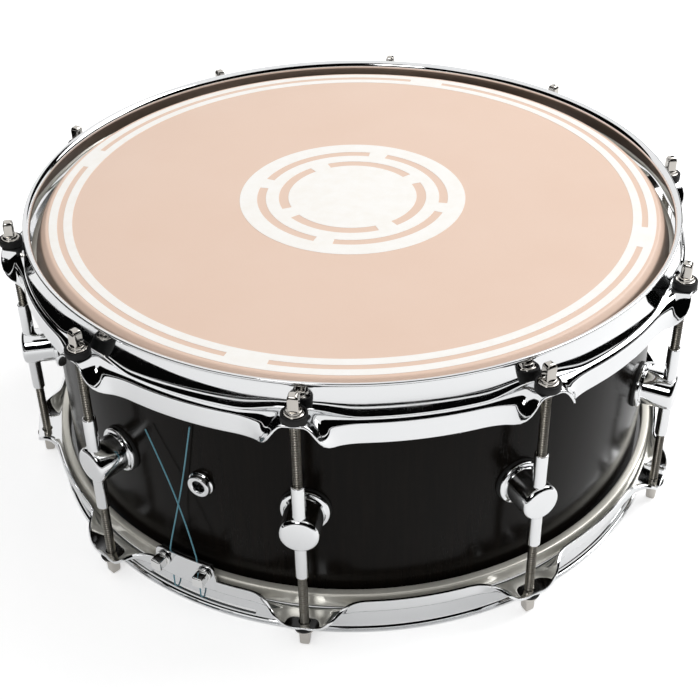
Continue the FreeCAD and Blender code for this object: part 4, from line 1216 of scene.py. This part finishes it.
    def tab_extra(self, angle: float) -> float:
        """Finds how far the skirt rises at the clamp's tab, with its rounded corners.

        Args:
            angle: Angle round the drum.

        Returns:
            Extra length of the skirt.
        """
        off = abs((angle - BUTT_ANGLE + 180.0) % 360.0 - 180.0)
        inside = math.radians(self.tab_half - off) * self.lip_reach
        if inside < 0.0 or self.tab_rise == 0.0:
            return 0.0
        corner = max(self.tab_round - inside, 0.0)
        return self.tab_rise - self.tab_round + math.sqrt(self.tab_round ** 2 - corner ** 2)

    def ear_drill(self) -> Piece:
        """Makes the cutter for the ten ear holes.

        Returns:
            The cutter.
        """
        name = f"{self.node}_drill"
        level = self.lip + self.inward * self.ledge
        drill = drill_rod(name, self.ear_hole, level - self.drill_half, level + self.drill_half, HOLE_STEPS)
        set_down(drill, offset=(ROD_CIRCLE, 0.0, 0.0))
        return join(name, ring_of(drill, numbered(name)))


def turned_spot(angle: float, radius: float, aside: float, level: float) -> Vector:
    """Gives the place in metres of a point by its radius, its distance aside and its level at an angle."""
    return Matrix.Rotation(math.radians(angle), 3, "Z") @ Vector((radius, aside, level)) * MM


@dataclass
class Hoops:
    """The two counterhoops; the lower one has the clamp's tab and the gates for the snares."""

    batter_ledge: float = 15.4
    batter_lip_drop: float = 0.75
    snare_ledge: float = 15.0
    snare_skirt: float = 25.0
    tab_rise: float = 10.0
    gate_inner: float = 170.0
    gate_outer: float = 196.0
    gate_low: float = 3.6
    gate_high: float = 6.8
    gate_half: float = 33.5
    gate_lead: float = 1.5
    gate_soft: float = 0.8
    slot_inner: float = 184.2
    slot_outer: float = 186.3
    slot_low: float = 13.0
    slot_high: float = 19.0
    slot_half: float = 12.0
    slot_soft: float = 0.4

    def build(self) -> None:
        """Models both hoops and dresses them."""
        upper = Span.of("batter_hoop")
        batter = Counterhoop("batter_hoop", upper.high, -1.0, ledge=self.batter_ledge,
                             skirt=upper.high - upper.low, lip_drop=self.batter_lip_drop)
        batter.build()
        lower = Span.of("snare_side_hoop")
        snare = Counterhoop("snare_side_hoop", lower.low, 1.0, ledge=self.snare_ledge, skirt=self.snare_skirt,
                            tab_rise=self.tab_rise, lean=0.0, flare=8.0, ear_flare=5.0, foot=2.8, fold=2.3,
                            ear_half=4.0, scoop_half=32.0, swell_half=36.0)
        snare.build(self.gate_cutters())

    def gate_cutters(self) -> list[Piece]:
        """Makes the cutters for the two snare gates and the two cord slots.

        Returns:
            The four cutters.
        """
        cutters = []
        for angle in (BUTT_ANGLE, STRAINER_ANGLE):
            gate = block("gate_cutter", (self.gate_inner, -self.gate_half, self.gate_low),
                         (self.gate_outer, self.gate_half, self.gate_high), self.gate_soft)
            swing(gate, angle + self.gate_lead)
            slot = block("cord_slot_cutter", (self.slot_inner, -self.slot_half, self.slot_low),
                         (self.slot_outer, self.slot_half, self.slot_high), self.slot_soft)
            swing(slot, angle)
            cutters += [gate, slot]
        return cutters


@dataclass
class Lugs:
    """The ten tube lugs: post, tube and gasket; their screws and washers inside are kept from the frame."""

    post: float = 10.2
    post_reach: float = 198.6
    post_round: float = 2.4
    fillet: float = 0.6
    fillet_rise: float = 0.8
    flange: float = 12.7
    flange_start: float = 178.0
    flange_reach: float = 180.6
    flange_slope: float = 0.4
    gasket: float = 13.1
    gasket_bore: float = 2.0
    gasket_start: float = 176.6
    tube: float = 3.5
    tube_bore: float = 2.55
    tube_soft: Point = (0.3, 0.5)

    def build(self) -> None:
        """Models one lug and copies it round the shell."""
        span = Span.of("lug_tubes")
        level = (span.low + span.high) / 2.0
        post = lathe("lug_post", [
            (0.0, self.flange_start), (self.flange, self.flange_start, 0.3),
            (self.flange, self.flange_reach - self.flange_slope, 1.0),
            (self.post + self.fillet, self.flange_reach, 0.5),
            (self.post, self.flange_reach + self.fillet_rise, 0.4),
            (self.post, self.post_reach, self.post_round), (0.0, self.post_reach),
        ], POST_STEPS, closed=False)
        lay_out(post, level)
        dress_ring(post, "lug_post", LUG_CHROME, "lug_posts")
        gasket = lathe("lug_gasket", [
            (self.gasket_bore, self.gasket_start), (self.gasket, self.gasket_start),
            (self.gasket, self.flange_start, 0.5), (self.gasket_bore, self.flange_start),
        ], POST_STEPS)
        lay_out(gasket, level)
        dress_ring(gasket, "lug_gasket", BLACK_RUBBER, "lug_gaskets")
        section = band(self.tube_bore, self.tube, span.low, span.high, self.tube_soft)
        tube = lathe("lug_tube", section, ROD_STEPS)
        set_down(tube, offset=(ROD_CIRCLE, 0.0, 0.0))
        dress_ring(tube, "lug_tube", LUG_CHROME, "lug_tubes")
        coat_nodes(ZINC_STEEL, "lug_screws", "lug_washers")


@dataclass
class TensionRods:
    """Ten square-headed rods at one head, with their washers; the lower head's are turned over."""

    side: str
    head_up: bool
    washer: float
    washer_lift: float = 0.0
    washer_bore: float = 2.75
    cup: float = 5.45
    square: float = 5.5
    corner: float = 0.8
    head_height: float = 8.7
    crown: float = 2.6
    crown_steps: tuple[Point, ...] = ((0.4, 0.95), (0.3, 0.88), (0.2, 0.78), (0.1, 0.6))
    collar: float = 5.2
    collar_height: float = 3.6
    step: float = 4.1
    step_height: float = 1.5
    core: float = 2.0
    tip: Point = (0.3, 0.6)
    root: float = 2.1
    thread: float = 2.5
    thread_end: float = 0.5
    pitch: float = 1.5
    turn_steps: int = 20

    def build(self) -> None:
        """Models a rod and a washer, and copies them to the ten ears."""
        names = numbered(f"{self.side}_rod")
        pieces = ring_of(self.model_rod(), [f"{name}_turned" for name in names])
        for piece, name in zip(pieces, names):
            dress(piece, ROD_NICKEL, name, name)
        node = f"{self.side}_rod_washers"
        span = Span.of(node)
        low = span.low + self.washer_lift
        rim = span.high + self.washer_lift
        outline = [(self.washer_bore, low), (self.washer, low, 0.5), (self.washer, rim, 0.5)]
        if self.washer_lift:
            outline += [(self.cup, rim, 0.3), (self.cup, span.high)]
        outline.append((self.washer_bore, span.high, 0.3))
        washer = lathe(f"{self.side}_washer", outline, SCREW_STEPS)
        set_down(washer, offset=(ROD_CIRCLE, 0.0, 0.0))
        dress_ring(washer, f"{self.side}_washer", BLACK_NYLON, node)

    def model_rod(self) -> Piece:
        """Models a rod at the ear at angle 0.

        Returns:
            The rod, with thread, collar and head.
        """
        span = Span.of(f"{self.side}_rod_01")
        head_start = span.high - span.low - self.head_height
        seat = head_start - self.collar_height
        shoulder = head_start - self.step_height
        # The real thread's pitch is 1.06 mm; it is drawn coarser, so that it shows.
        thread = draw_line("rod_thread", [
            (self.core, 0.0), (self.root, self.pitch * 0.2), (self.thread, self.pitch * 0.5),
            (self.root, self.pitch * 0.8), (self.core, self.pitch),
        ], Plane.UPRIGHT)
        wind(thread, self.pitch, seat - self.thread_end, self.turn_steps)
        core = lathe("rod_core", [
            (0.0, self.tip[0]), (self.core, self.tip[1]), (self.core, seat), (self.collar, seat, 0.5),
            (self.collar, shoulder, 0.7), (self.step, shoulder, 0.3), (self.step, head_start, 0.5),
            (0.0, head_start),
        ], ROD_STEPS, closed=False)
        head = prism("rod_head", square(self.square, self.corner), Plane.FLAT, self.head_height - self.crown)
        self.crown_head(head)
        set_down(head, offset=(0.0, 0.0, head_start))
        rod = join("rod_model", [thread, core, head])
        if self.head_up:
            set_down(rod, offset=(ROD_CIRCLE, 0.0, span.low))
        else:
            set_down(rod, turn=(180.0, 0.0, 0.0), offset=(ROD_CIRCLE, 0.0, span.high))
        return rod

    def crown_head(self, head: Piece) -> None:
        """Draws the top of a square head in to a rounded crown.

        Args:
            head: The head, flat on top.
        """
        top = max(vertex.co.z for vertex in head.data.vertices)
        pick_faces(head, lambda middle: middle.z > top - WELD)
        for rise, shrink in self.crown_steps:
            extrude((0.0, 0.0, self.crown * rise))
            bpy.ops.transform.resize(value=(shrink, shrink, 1.0), center_override=ORIGIN)
        bpy.ops.mesh.select_mode(type="VERT")
        close_up()


def cord_line(name: str, routes: Sequence[Sequence[Vector]]) -> Piece:
    """Makes a round cord along each route, as an open smooth spline that the route's places guide.

    Args:
        name: Name of the piece.
        routes: Places in metres, for each cord.

    Returns:
        The cords as one curve.
    """
    curve = bpy.data.curves.new(name, "CURVE")
    curve.dimensions = "3D"
    curve.bevel_depth = CORD_DIAMETER / 2.0 * MM
    curve.bevel_resolution = 3
    curve.use_fill_caps = True
    for route in routes:
        spline = curve.splines.new("NURBS")
        spline.points.add(len(route) - 1)
        for point, spot in zip(spline.points, route):
            point.co = (*spot, 1.0)
        spline.order_u = 3
        spline.use_endpoint_u = True
        spline.resolution_u = 16
    line = bpy.data.objects.new(name, curve)
    bpy.context.collection.objects.link(line)
    return line


@dataclass
class HeldCords:
    """A pair of cords from a snare end plate, out under the head and up to a clamp."""

    name: str
    node: str
    angle: float
    rise: float
    top: float
    asides: Point
    bend: float = 176.0
    slot_level: float = 14.0

    def build(self) -> Piece:
        """Models the pair as one mesh of two tubes, and dresses it.

        Returns:
            The pair.
        """
        way = [(PLATE_OUTER, SNARE_LEVEL), (self.bend, SNARE_LEVEL), (self.rise, SNARE_LEVEL),
               (self.rise, self.slot_level), (self.rise, self.top)]
        routes = [[turned_spot(self.angle, radius, aside, level) for radius, level in way]
                  for aside in self.asides]
        line = cord_line(self.name, routes)
        take(line)
        bpy.ops.object.convert(target="MESH")
        cords = bpy.context.object
        dress(cords, BLUE_CORD, "drum", self.node)
        return cords


@dataclass
class ButtClamp:
    """The clamp on the lower hoop's tab: bar, two square-headed screws, and the cords that it holds."""

    screw_half: float = 3.9
    screw_level: float = 29.0
    screw_seat: float = 188.35
    screw_reach: float = 195.75
    collar: float = 4.5
    collar_height: float = 1.4
    square: float = 6.3
    corner: float = 0.9
    edge: float = 0.7
    shank: float = 2.0
    shank_start: float = 182.4
    bar_half: float = 5.0
    bar_inner: float = 183.8
    bar_outer: float = 185.4
    bar_drop: float = 0.6
    bar_soft: Point = (0.5, 0.5)
    left: tuple[Corner, ...] = (
        (185.85, -9.4, 35.6), (185.2, -8.9, 40.0), (181.9, -6.0, 57.0), (179.6, 0.3, 86.0),
        (178.6, 6.6, 119.0))
    right: tuple[Corner, ...] = (
        (185.85, 7.5, 35.6), (185.6, 6.8, 38.8), (184.0, 0.9, 59.0), (181.2, -9.3, 83.0),
        (178.8, -21.6, 107.0))
    left_length: float = 85.11
    right_length: float = 77.65

    def build(self) -> None:
        """Models the clamp and its cords."""
        self.free_cord("snare_cord_left", self.left)
        self.free_cord("snare_cord_right", self.right)
        rise, left, top = self.left[0]
        HeldCords("butt_cord_pair", "butt_cords", BUTT_ANGLE, rise, top, (left, self.right[0][1])).build()
        self.build_bar()
        self.build_screws()

    def free_cord(self, name: str, route: Sequence[Corner]) -> None:
        """Lays one loose cord end along its route.

        Args:
            name: Node that the cord stands for.
            route: Radius, distance aside and level of each point.
        """
        spots = [turned_spot(BUTT_ANGLE, *point) for point in route]
        cord = cord_line(f"{name}_end", [spots])
        dress(cord, BLUE_CORD, "drum", name)

    def build_bar(self) -> None:
        """Models the black bar behind the tab, bent to the hoop's curve."""
        span = Span.of("butt_clamp_bar")
        section = band(self.bar_inner, self.bar_outer, span.low, span.high - self.bar_drop, self.bar_soft)
        bar = lathe("clamp_bar_strip", section, FINE_STEPS)
        for side in (-1.0, 1.0):
            edge = math.radians(BUTT_ANGLE + side * self.bar_half)
            way = (-math.sin(edge) * side, math.cos(edge) * side, 0.0)
            take(bar)
            bpy.ops.object.mode_set(mode="EDIT")
            bpy.ops.mesh.select_all(action="SELECT")
            bpy.ops.mesh.bisect(plane_co=ORIGIN, plane_no=way, use_fill=True, clear_outer=True)
            close_up()
        dress(bar, BLACK_PAINT, "drum", "butt_clamp_bar")

    def build_screws(self) -> None:
        """Models the clamp screws and sets both on the tab."""
        head_start = self.screw_seat + self.collar_height
        for number, side in enumerate((-1.0, 1.0), start=1):
            head = prism("clamp_head", square(self.square, self.corner), Plane.FLAT,
                         self.screw_reach - head_start)
            break_edges(head, self.edge)
            set_down(head, offset=(0.0, 0.0, head_start))
            collar = lathe("clamp_collar", [
                (0.0, self.shank_start), (self.shank, self.shank_start, 0.4), (self.shank, self.screw_seat),
                (self.collar, self.screw_seat, 0.3), (self.collar, head_start, 0.6), (0.0, head_start),
            ], SCREW_STEPS, closed=False)
            screw = join(f"clamp_screw_{number:02d}", [head, collar])
            lay_out(screw, self.screw_level)
            swing(screw, BUTT_ANGLE + side * self.screw_half)
            dress(screw, SCREW_CHROME, "drum", "butt_screws")


@dataclass
class Snares:
    """The coiled wires under the lower head, and the two end plates that they are soldered to."""

    strands: int = 20
    spacing: float = 2.2
    half_length: float = 150.0
    wire: float = 0.28
    wire_steps: int = 4
    coil: float = 0.9
    coil_pitch: float = 3.0
    coil_steps: int = 8
    plate_half: float = 23.0
    plate_soft: float = 0.5

    def build(self) -> None:
        """Models the strands and the plates."""
        strands = copies(self.model_strand(), self.strands)
        first = -(self.strands - 1) / 2.0 * self.spacing
        for number, strand in enumerate(strands):
            set_down(strand, offset=(0.0, first + number * self.spacing, SNARE_LEVEL))
        wires = join("snare_strands", strands)
        swing(wires, STRAINER_ANGLE)
        dress(wires, SNARE_STEEL, "drum", "snare_wires")
        for node, angle in (
            ("snare_end_plate_butt", BUTT_ANGLE), ("snare_end_plate_strainer", STRAINER_ANGLE),
        ):
            span = Span.of(node)
            plate = block(f"{node}_pressed", (self.half_length, -self.plate_half, span.low),
                          (PLATE_OUTER, self.plate_half, span.high), self.plate_soft)
            swing(plate, angle)
            dress(plate, ZINC_STEEL, "drum", node)

    def model_strand(self) -> Piece:
        """Models one coiled strand along +x, with its middle at the origin.

        Returns:
            The strand.
        """
        # Real snare coils are about 1.2 mm apart; they are drawn wider, so that they show.
        angles = [math.tau * step / self.wire_steps for step in range(self.wire_steps + 1)]
        ring = [(self.coil - self.wire * (1.0 - math.cos(angle)), self.wire * math.sin(angle))
                for angle in angles]
        strand = draw_line("snare_strand", ring, Plane.UPRIGHT)
        bpy.ops.mesh.remove_doubles(threshold=WELD)
        wind(strand, self.coil_pitch, 2.0 * self.half_length, self.coil_steps)
        bpy.ops.object.mode_set(mode="EDIT")
        close_up()
        set_down(strand, offset=(0.0, 0.0, -self.half_length))
        lay_out(strand, 0.0)
        return strand


@dataclass
class Strainer:
    """The throw-off opposite the clamp: base, slider, knob and lever, and the cords to the wires."""

    shell_radius: float = 177.0
    cheek_half: float = 17.0
    cheek: float = 5.0
    cheek_reach: float = 193.0
    cheek_soft: float = 1.2
    plate_reach: float = 181.0
    base_edge: float = 0.7
    slider_inner: float = 181.2
    slider_outer: float = 191.2
    slider_half: float = 11.8
    foot_inner: float = 185.9
    foot_outer: float = 189.9
    foot_top: float = 54.0
    inner_soft: float = 0.8
    clamp_inner: float = 181.6
    clamp_outer: float = 184.6
    edge: float = 0.5
    knob_radius: float = 187.0
    knob_low: float = 81.0
    knob_size: float = 5.5
    knob_flute: float = 0.45
    knob_flutes: int = 18
    flute_steps: int = 6
    stem: float = 2.0
    stem_overlap: float = 0.5
    arm_inner: float = 185.0
    arm_outer: float = 194.0
    arm_start: float = 17.3
    arm_end: float = 20.3
    arm_soft: float = 1.5
    arm_flat: float = 0.01
    finger_overlap: float = 0.6
    finger_outer: float = 197.0
    finger_top: float = 72.0
    finger_soft: float = 1.0
    cord_rise: float = 185.25
    cord_top: float = 48.0
    cord_aside: float = 7.5
    cord_keep: float = 0.862
    cord_anchor: float = 4.5

    def build(self) -> None:
        """Models the strainer's pieces and sets each on its body."""
        self.build_base()
        self.build_slider()
        self.build_knob()
        self.build_lever()
        cords = HeldCords("strainer_cord_pair", "strainer_cords", STRAINER_ANGLE, self.cord_rise,
                          self.cord_top, (-self.cord_aside, self.cord_aside)).build()
        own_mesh(cords)
        coat_nodes(ZINC_STEEL, "strainer_base_screws", "strainer_pivot_pin", "strainer_clamp_screws")

    def build_base(self) -> None:
        """Models the channel that is screwed to the shell."""
        span = Span.of("strainer_base")
        back = math.sqrt(self.shell_radius ** 2 - self.cheek_half ** 2)
        inside = self.cheek_half - self.cheek
        base = prism("strainer_channel", [
            (back, -self.cheek_half), (self.cheek_reach, -self.cheek_half, self.cheek_soft),
            (self.cheek_reach, -inside, self.cheek_soft), (self.plate_reach, -inside, self.inner_soft),
            (self.plate_reach, inside, self.inner_soft), (self.cheek_reach, inside, self.cheek_soft),
            (self.cheek_reach, self.cheek_half, self.cheek_soft), (back, self.cheek_half),
            (self.shell_radius, 0.0),
        ], Plane.FLAT, span.high - span.low)
        break_edges(base, self.base_edge)
        set_down(base, turn=(0.0, 0.0, STRAINER_ANGLE), offset=(0.0, 0.0, span.low))
        dress(base, STRAINER_CHROME, "drum", "strainer_base")

    def build_slider(self) -> None:
        """Models the slider with its foot, and the clamp plate on it."""
        span = Span.of("strainer_slider")
        slider = prism("strainer_slide", [
            (self.slider_inner, self.foot_top, self.inner_soft), (self.foot_inner, self.foot_top),
            (self.foot_inner, span.low, self.inner_soft), (self.foot_outer, span.low, self.inner_soft),
            (self.foot_outer, self.foot_top), (self.slider_outer, self.foot_top, self.inner_soft),
            (self.slider_outer, span.high, 1.0), (self.slider_inner, span.high, 1.0),
        ], Plane.UPRIGHT, 2.0 * self.slider_half)
        set_down(slider, offset=(0.0, -self.slider_half, 0.0))
        break_edges(slider, self.edge)
        swing(slider, STRAINER_ANGLE)
        dress(slider, STRAINER_CHROME, "strainer_slider", "strainer_slider")
        span = Span.of("strainer_clamp_plate")
        plate = block("strainer_clamp_strip", (self.clamp_inner, -self.slider_half, span.low),
                      (self.clamp_outer, self.slider_half, span.high), self.edge)
        swing(plate, STRAINER_ANGLE)
        dress(plate, ZINC_STEEL, "strainer_slider", "strainer_clamp_plate")

    def build_knob(self) -> None:
        """Models the fluted knob and its stem."""
        span = Span.of("strainer_knob")
        count = self.knob_flutes * self.flute_steps
        flutes = []
        for step in range(count):
            angle = math.tau * step / count
            dip = 0.5 - 0.5 * math.cos(angle * self.knob_flutes)
            radius = self.knob_size - self.knob_flute * dip
            flutes.append((radius * math.cos(angle), radius * math.sin(angle)))
        grip = prism("knob_grip", flutes, Plane.FLAT, span.high - self.knob_low)
        break_edges(grip, self.edge)
        set_down(grip, offset=(0.0, 0.0, self.knob_low))
        stem_top = self.knob_low + self.stem_overlap
        stem = lathe("knob_stem", [
            (0.0, span.low), (self.stem, span.low, 0.4), (self.stem, stem_top), (0.0, stem_top),
        ], STEM_STEPS, closed=False)
        knob = join("strainer_thumb_knob", [grip, stem])
        set_down(knob, offset=(self.knob_radius, 0.0, 0.0))
        swing(knob, STRAINER_ANGLE)
        dress(knob, STRAINER_CHROME, "strainer_knob", "strainer_knob")

    def build_lever(self) -> None:
        """Models the lever: two arms on the pivot pin, joined by the finger plate."""
        span = Span.of("strainer_lever")
        eye = (self.arm_outer - self.arm_inner) / 2.0 - self.arm_flat
        parts = []
        for start in (self.arm_start, -self.arm_end):
            arm = prism("lever_arm", [
                (self.arm_inner, span.low, self.arm_soft), (self.arm_outer, span.low, self.arm_soft),
                (self.arm_outer, span.high, eye), (self.arm_inner, span.high, eye),
            ], Plane.UPRIGHT, self.arm_end - self.arm_start)
            set_down(arm, offset=(0.0, start, 0.0))
            break_edges(arm, self.edge)
            parts.append(arm)
        parts.append(block("lever_finger", (self.arm_outer - self.finger_overlap, -self.arm_end, span.low),
                           (self.finger_outer, self.arm_end, self.finger_top), self.finger_soft))
        lever = join("strainer_throw_lever", parts)
        swing(lever, STRAINER_ANGLE)
        dress(lever, STRAINER_CHROME, "strainer_lever", "strainer_lever")


@dataclass(frozen=True)
class FeltSheet:
    """A sheet of black felt that only mirrors see, in metres: its middle, size, tilt and heading."""

    name: str
    place: Corner
    size: Point
    tilt: float = 0.0
    heading: float = 0.0
    tint: str = "#080808"

    def hang(self) -> None:
        """Hangs the sheet, as a part of the dark side of the room."""
        deselect()
        turn = (math.radians(self.tilt), 0.0, math.radians(self.heading))
        bpy.ops.mesh.primitive_plane_add(size=1.0, location=self.place, rotation=turn)
        felt = bpy.context.object
        felt.name = self.name
        felt.scale = (*self.size, 1.0)
        black = bpy.data.materials.get("black felt") or bpy.data.materials.new("black felt")
        black.use_nodes = True
        shader = black.node_tree.nodes["Principled BSDF"]
        feed(black.node_tree, shader, {"Base Color": linear(self.tint), "Specular IOR Level": 0.0})
        felt.data.materials.append(black)
        felt.visible_camera = False
        felt.visible_diffuse = False
        felt.visible_shadow = False
        felt.visible_transmission = False


@dataclass
class Studio:
    """A white floor, soft light from above and behind, and the camera that fits the photograph."""

    target: Corner = (3.5, 0.0, 75.6)
    distance: float = 768.5
    elevation: float = 34.3
    roll: float = -0.7
    focal_pixels: float = 1248.8
    image_pixels: float = 700.0
    shift: Point = (-0.0143, -0.05)
    sensor: float = 36.0
    clip_start: float = 0.05
    floor_size: float = 12.0
    floor_tint: str = "#F4F4F4"
    floor_rough: float = 0.9
    floor_gloss: float = 0.1
    floor_lift: float = 0.5
    mirror_lift: float = 0.2
    sky: float = 0.53
    white: str = "#FFFFFF"
    felts: tuple[FeltSheet, ...] = (
        FeltSheet("felt_wall", (0.0, -2.6, 1.9), (8.0, 3.4), tilt=90.0),
        FeltSheet("felt_ceiling", (1.62, -2.1, 2.7), (4.76, 2.0)),
        FeltSheet("felt_left", (-3.0, 0.2, 1.9), (5.6, 3.4), tilt=90.0, heading=90.0),
        FeltSheet("felt_right", (3.2, 0.4, 1.9), (6.0, 3.4), tilt=90.0, heading=90.0),
        FeltSheet("felt_right_back", (2.1, 3.5, 2.4), (2.4, 2.8), tilt=90.0, heading=149.0),
        FeltSheet("felt_floor_front", (0.0, -3.2, 0.002), (8.0, 3.2)),
        FeltSheet("felt_floor_left", (-2.45, 1.0, 0.002), (3.9, 5.0)),
        FeltSheet("felt_floor_right", (2.85, 1.0, 0.002), (4.0, 5.0)),
    )

    def build(self) -> None:
        """Sets up floor, world, lamps, camera and view transform."""
        bpy.context.scene.view_settings.view_transform = "Standard"
        self.build_floor()
        self.build_world()
        for felt in self.felts:
            felt.hang()
        self.add_lamp("key_panel", (1.1, 0.6, 1.2), size=1.2, power=20.0)
        self.add_lamp("front_panel", (-0.5, -1.3, 1.2), size=0.5, power=4.0)
        self.add_camera()

    def build_floor(self) -> None:
        """Lays the floor, a sheet of matt white paper that glows a little to the eye and to mirrors."""
        deselect()
        bpy.ops.mesh.primitive_plane_add(size=self.floor_size)
        floor = bpy.context.object
        floor.name = "paper_floor"
        paper = bpy.data.materials.new("matt white paper")
        paper.use_nodes = True
        tree = paper.node_tree
        rays = add_node(tree, "LightPath", {}).outputs
        seen = add_node(tree, "Math", {0: rays["Is Camera Ray"], 1: self.floor_lift}, operation="MULTIPLY")
        lift = add_node(tree, "Math", {
            0: rays["Is Glossy Ray"], 1: self.mirror_lift, 2: seen.outputs["Value"],
        }, operation="MULTIPLY_ADD")
        feed(tree, tree.nodes["Principled BSDF"], {
            "Base Color": linear(self.floor_tint), "Roughness": self.floor_rough,
            "Specular IOR Level": self.floor_gloss, "Emission Color": linear(self.white),
            "Emission Strength": lift.outputs["Value"],
        })
        floor.data.materials.append(paper)

    def build_world(self) -> None:
        """Makes the world white to the eye, mirrors and clear film, and a softer light to everything else."""
        world = bpy.data.worlds.new("white room")
        bpy.context.scene.world = world
        world.use_nodes = True
        tree = world.node_tree
        rays = add_node(tree, "LightPath", {}).outputs
        seen = add_node(tree, "Math", {
            0: rays["Is Camera Ray"], 1: rays["Is Glossy Ray"],
        }, operation="MAXIMUM")
        through = add_node(tree, "Math", {
            0: seen.outputs["Value"], 1: rays["Is Transmission Ray"],
        }, operation="MAXIMUM")
        strength = add_node(tree, "MapRange", {
            "Value": through.outputs["Value"], "To Min": self.sky, "To Max": 1.0,
        })
        feed(tree, tree.nodes["Background"], {
            "Color": linear(self.white), "Strength": strength.outputs["Result"],
        })

    def add_lamp(self, name: str, place: Corner, size: float, power: float) -> None:
        """Hangs a square soft light that looks at the drum.

        Args:
            name: Name of the lamp.
            place: Its place in metres.
            size: Its side in metres.
            power: Its power in watts.
        """
        lamp = bpy.data.lights.new(name, "AREA")
        lamp.size = size
        lamp.energy = power
        panel = bpy.data.objects.new(name, lamp)
        panel.location = place
        aim = Vector(self.target) * MM - Vector(place)
        panel.rotation_euler = aim.to_track_quat("-Z", "Y").to_euler()
        bpy.context.collection.objects.link(panel)

    def add_camera(self) -> None:
        """Sets the camera at the photograph's place."""
        rise = math.radians(self.elevation)
        back = Vector((0.0, -math.cos(rise), math.sin(rise)))
        up = Vector((0.0, math.sin(rise), math.cos(rise)))
        right = Vector((1.0, 0.0, 0.0))
        lean = math.radians(self.roll)
        across = right * math.cos(lean) + up * math.sin(lean)
        upright = up * math.cos(lean) - right * math.sin(lean)
        lens = bpy.data.cameras.new("photo_lens")
        lens.sensor_width = self.sensor
        lens.lens = self.sensor * self.focal_pixels / self.image_pixels
        lens.shift_x, lens.shift_y = self.shift
        lens.clip_start = self.clip_start
        camera = bpy.data.objects.new("photo_camera", lens)
        turn = Matrix((across, upright, back)).transposed().to_4x4()
        camera.matrix_world = Matrix.Translation((Vector(self.target) + back * self.distance) * MM) @ turn
        bpy.context.collection.objects.link(camera)
        bpy.context.scene.camera = camera


def main() -> None:
    """Builds the drum's sub-assemblies in order, after the studio."""
    logging.basicConfig(level=logging.INFO, format="%(name)s %(message)s")
    Studio().build()
    ButtClamp().build()
    Shell().build()
    Head("batter", outward=1.0, film=0.35, finish=PEACH_FILM, rings=(0.0, 60.0, 120.0), bevel=3.2,
         lead=0.4, prints=(CENTRE_DOT, EDGE_RING)).build()
    Head("snare_side", outward=-1.0, film=0.2, finish=CLEAR_FILM, rings=(0.0, 120.0), bevel=3.1,
         lead=0.3).build()
    Hoops().build()
    Lugs().build()
    TensionRods("batter", head_up=True, washer=6.5, washer_lift=1.8).build()
    TensionRods("snare", head_up=False, washer=6.0).build()
    Snares().build()
    Strainer().build()


if __name__ == "__main__":
    main()
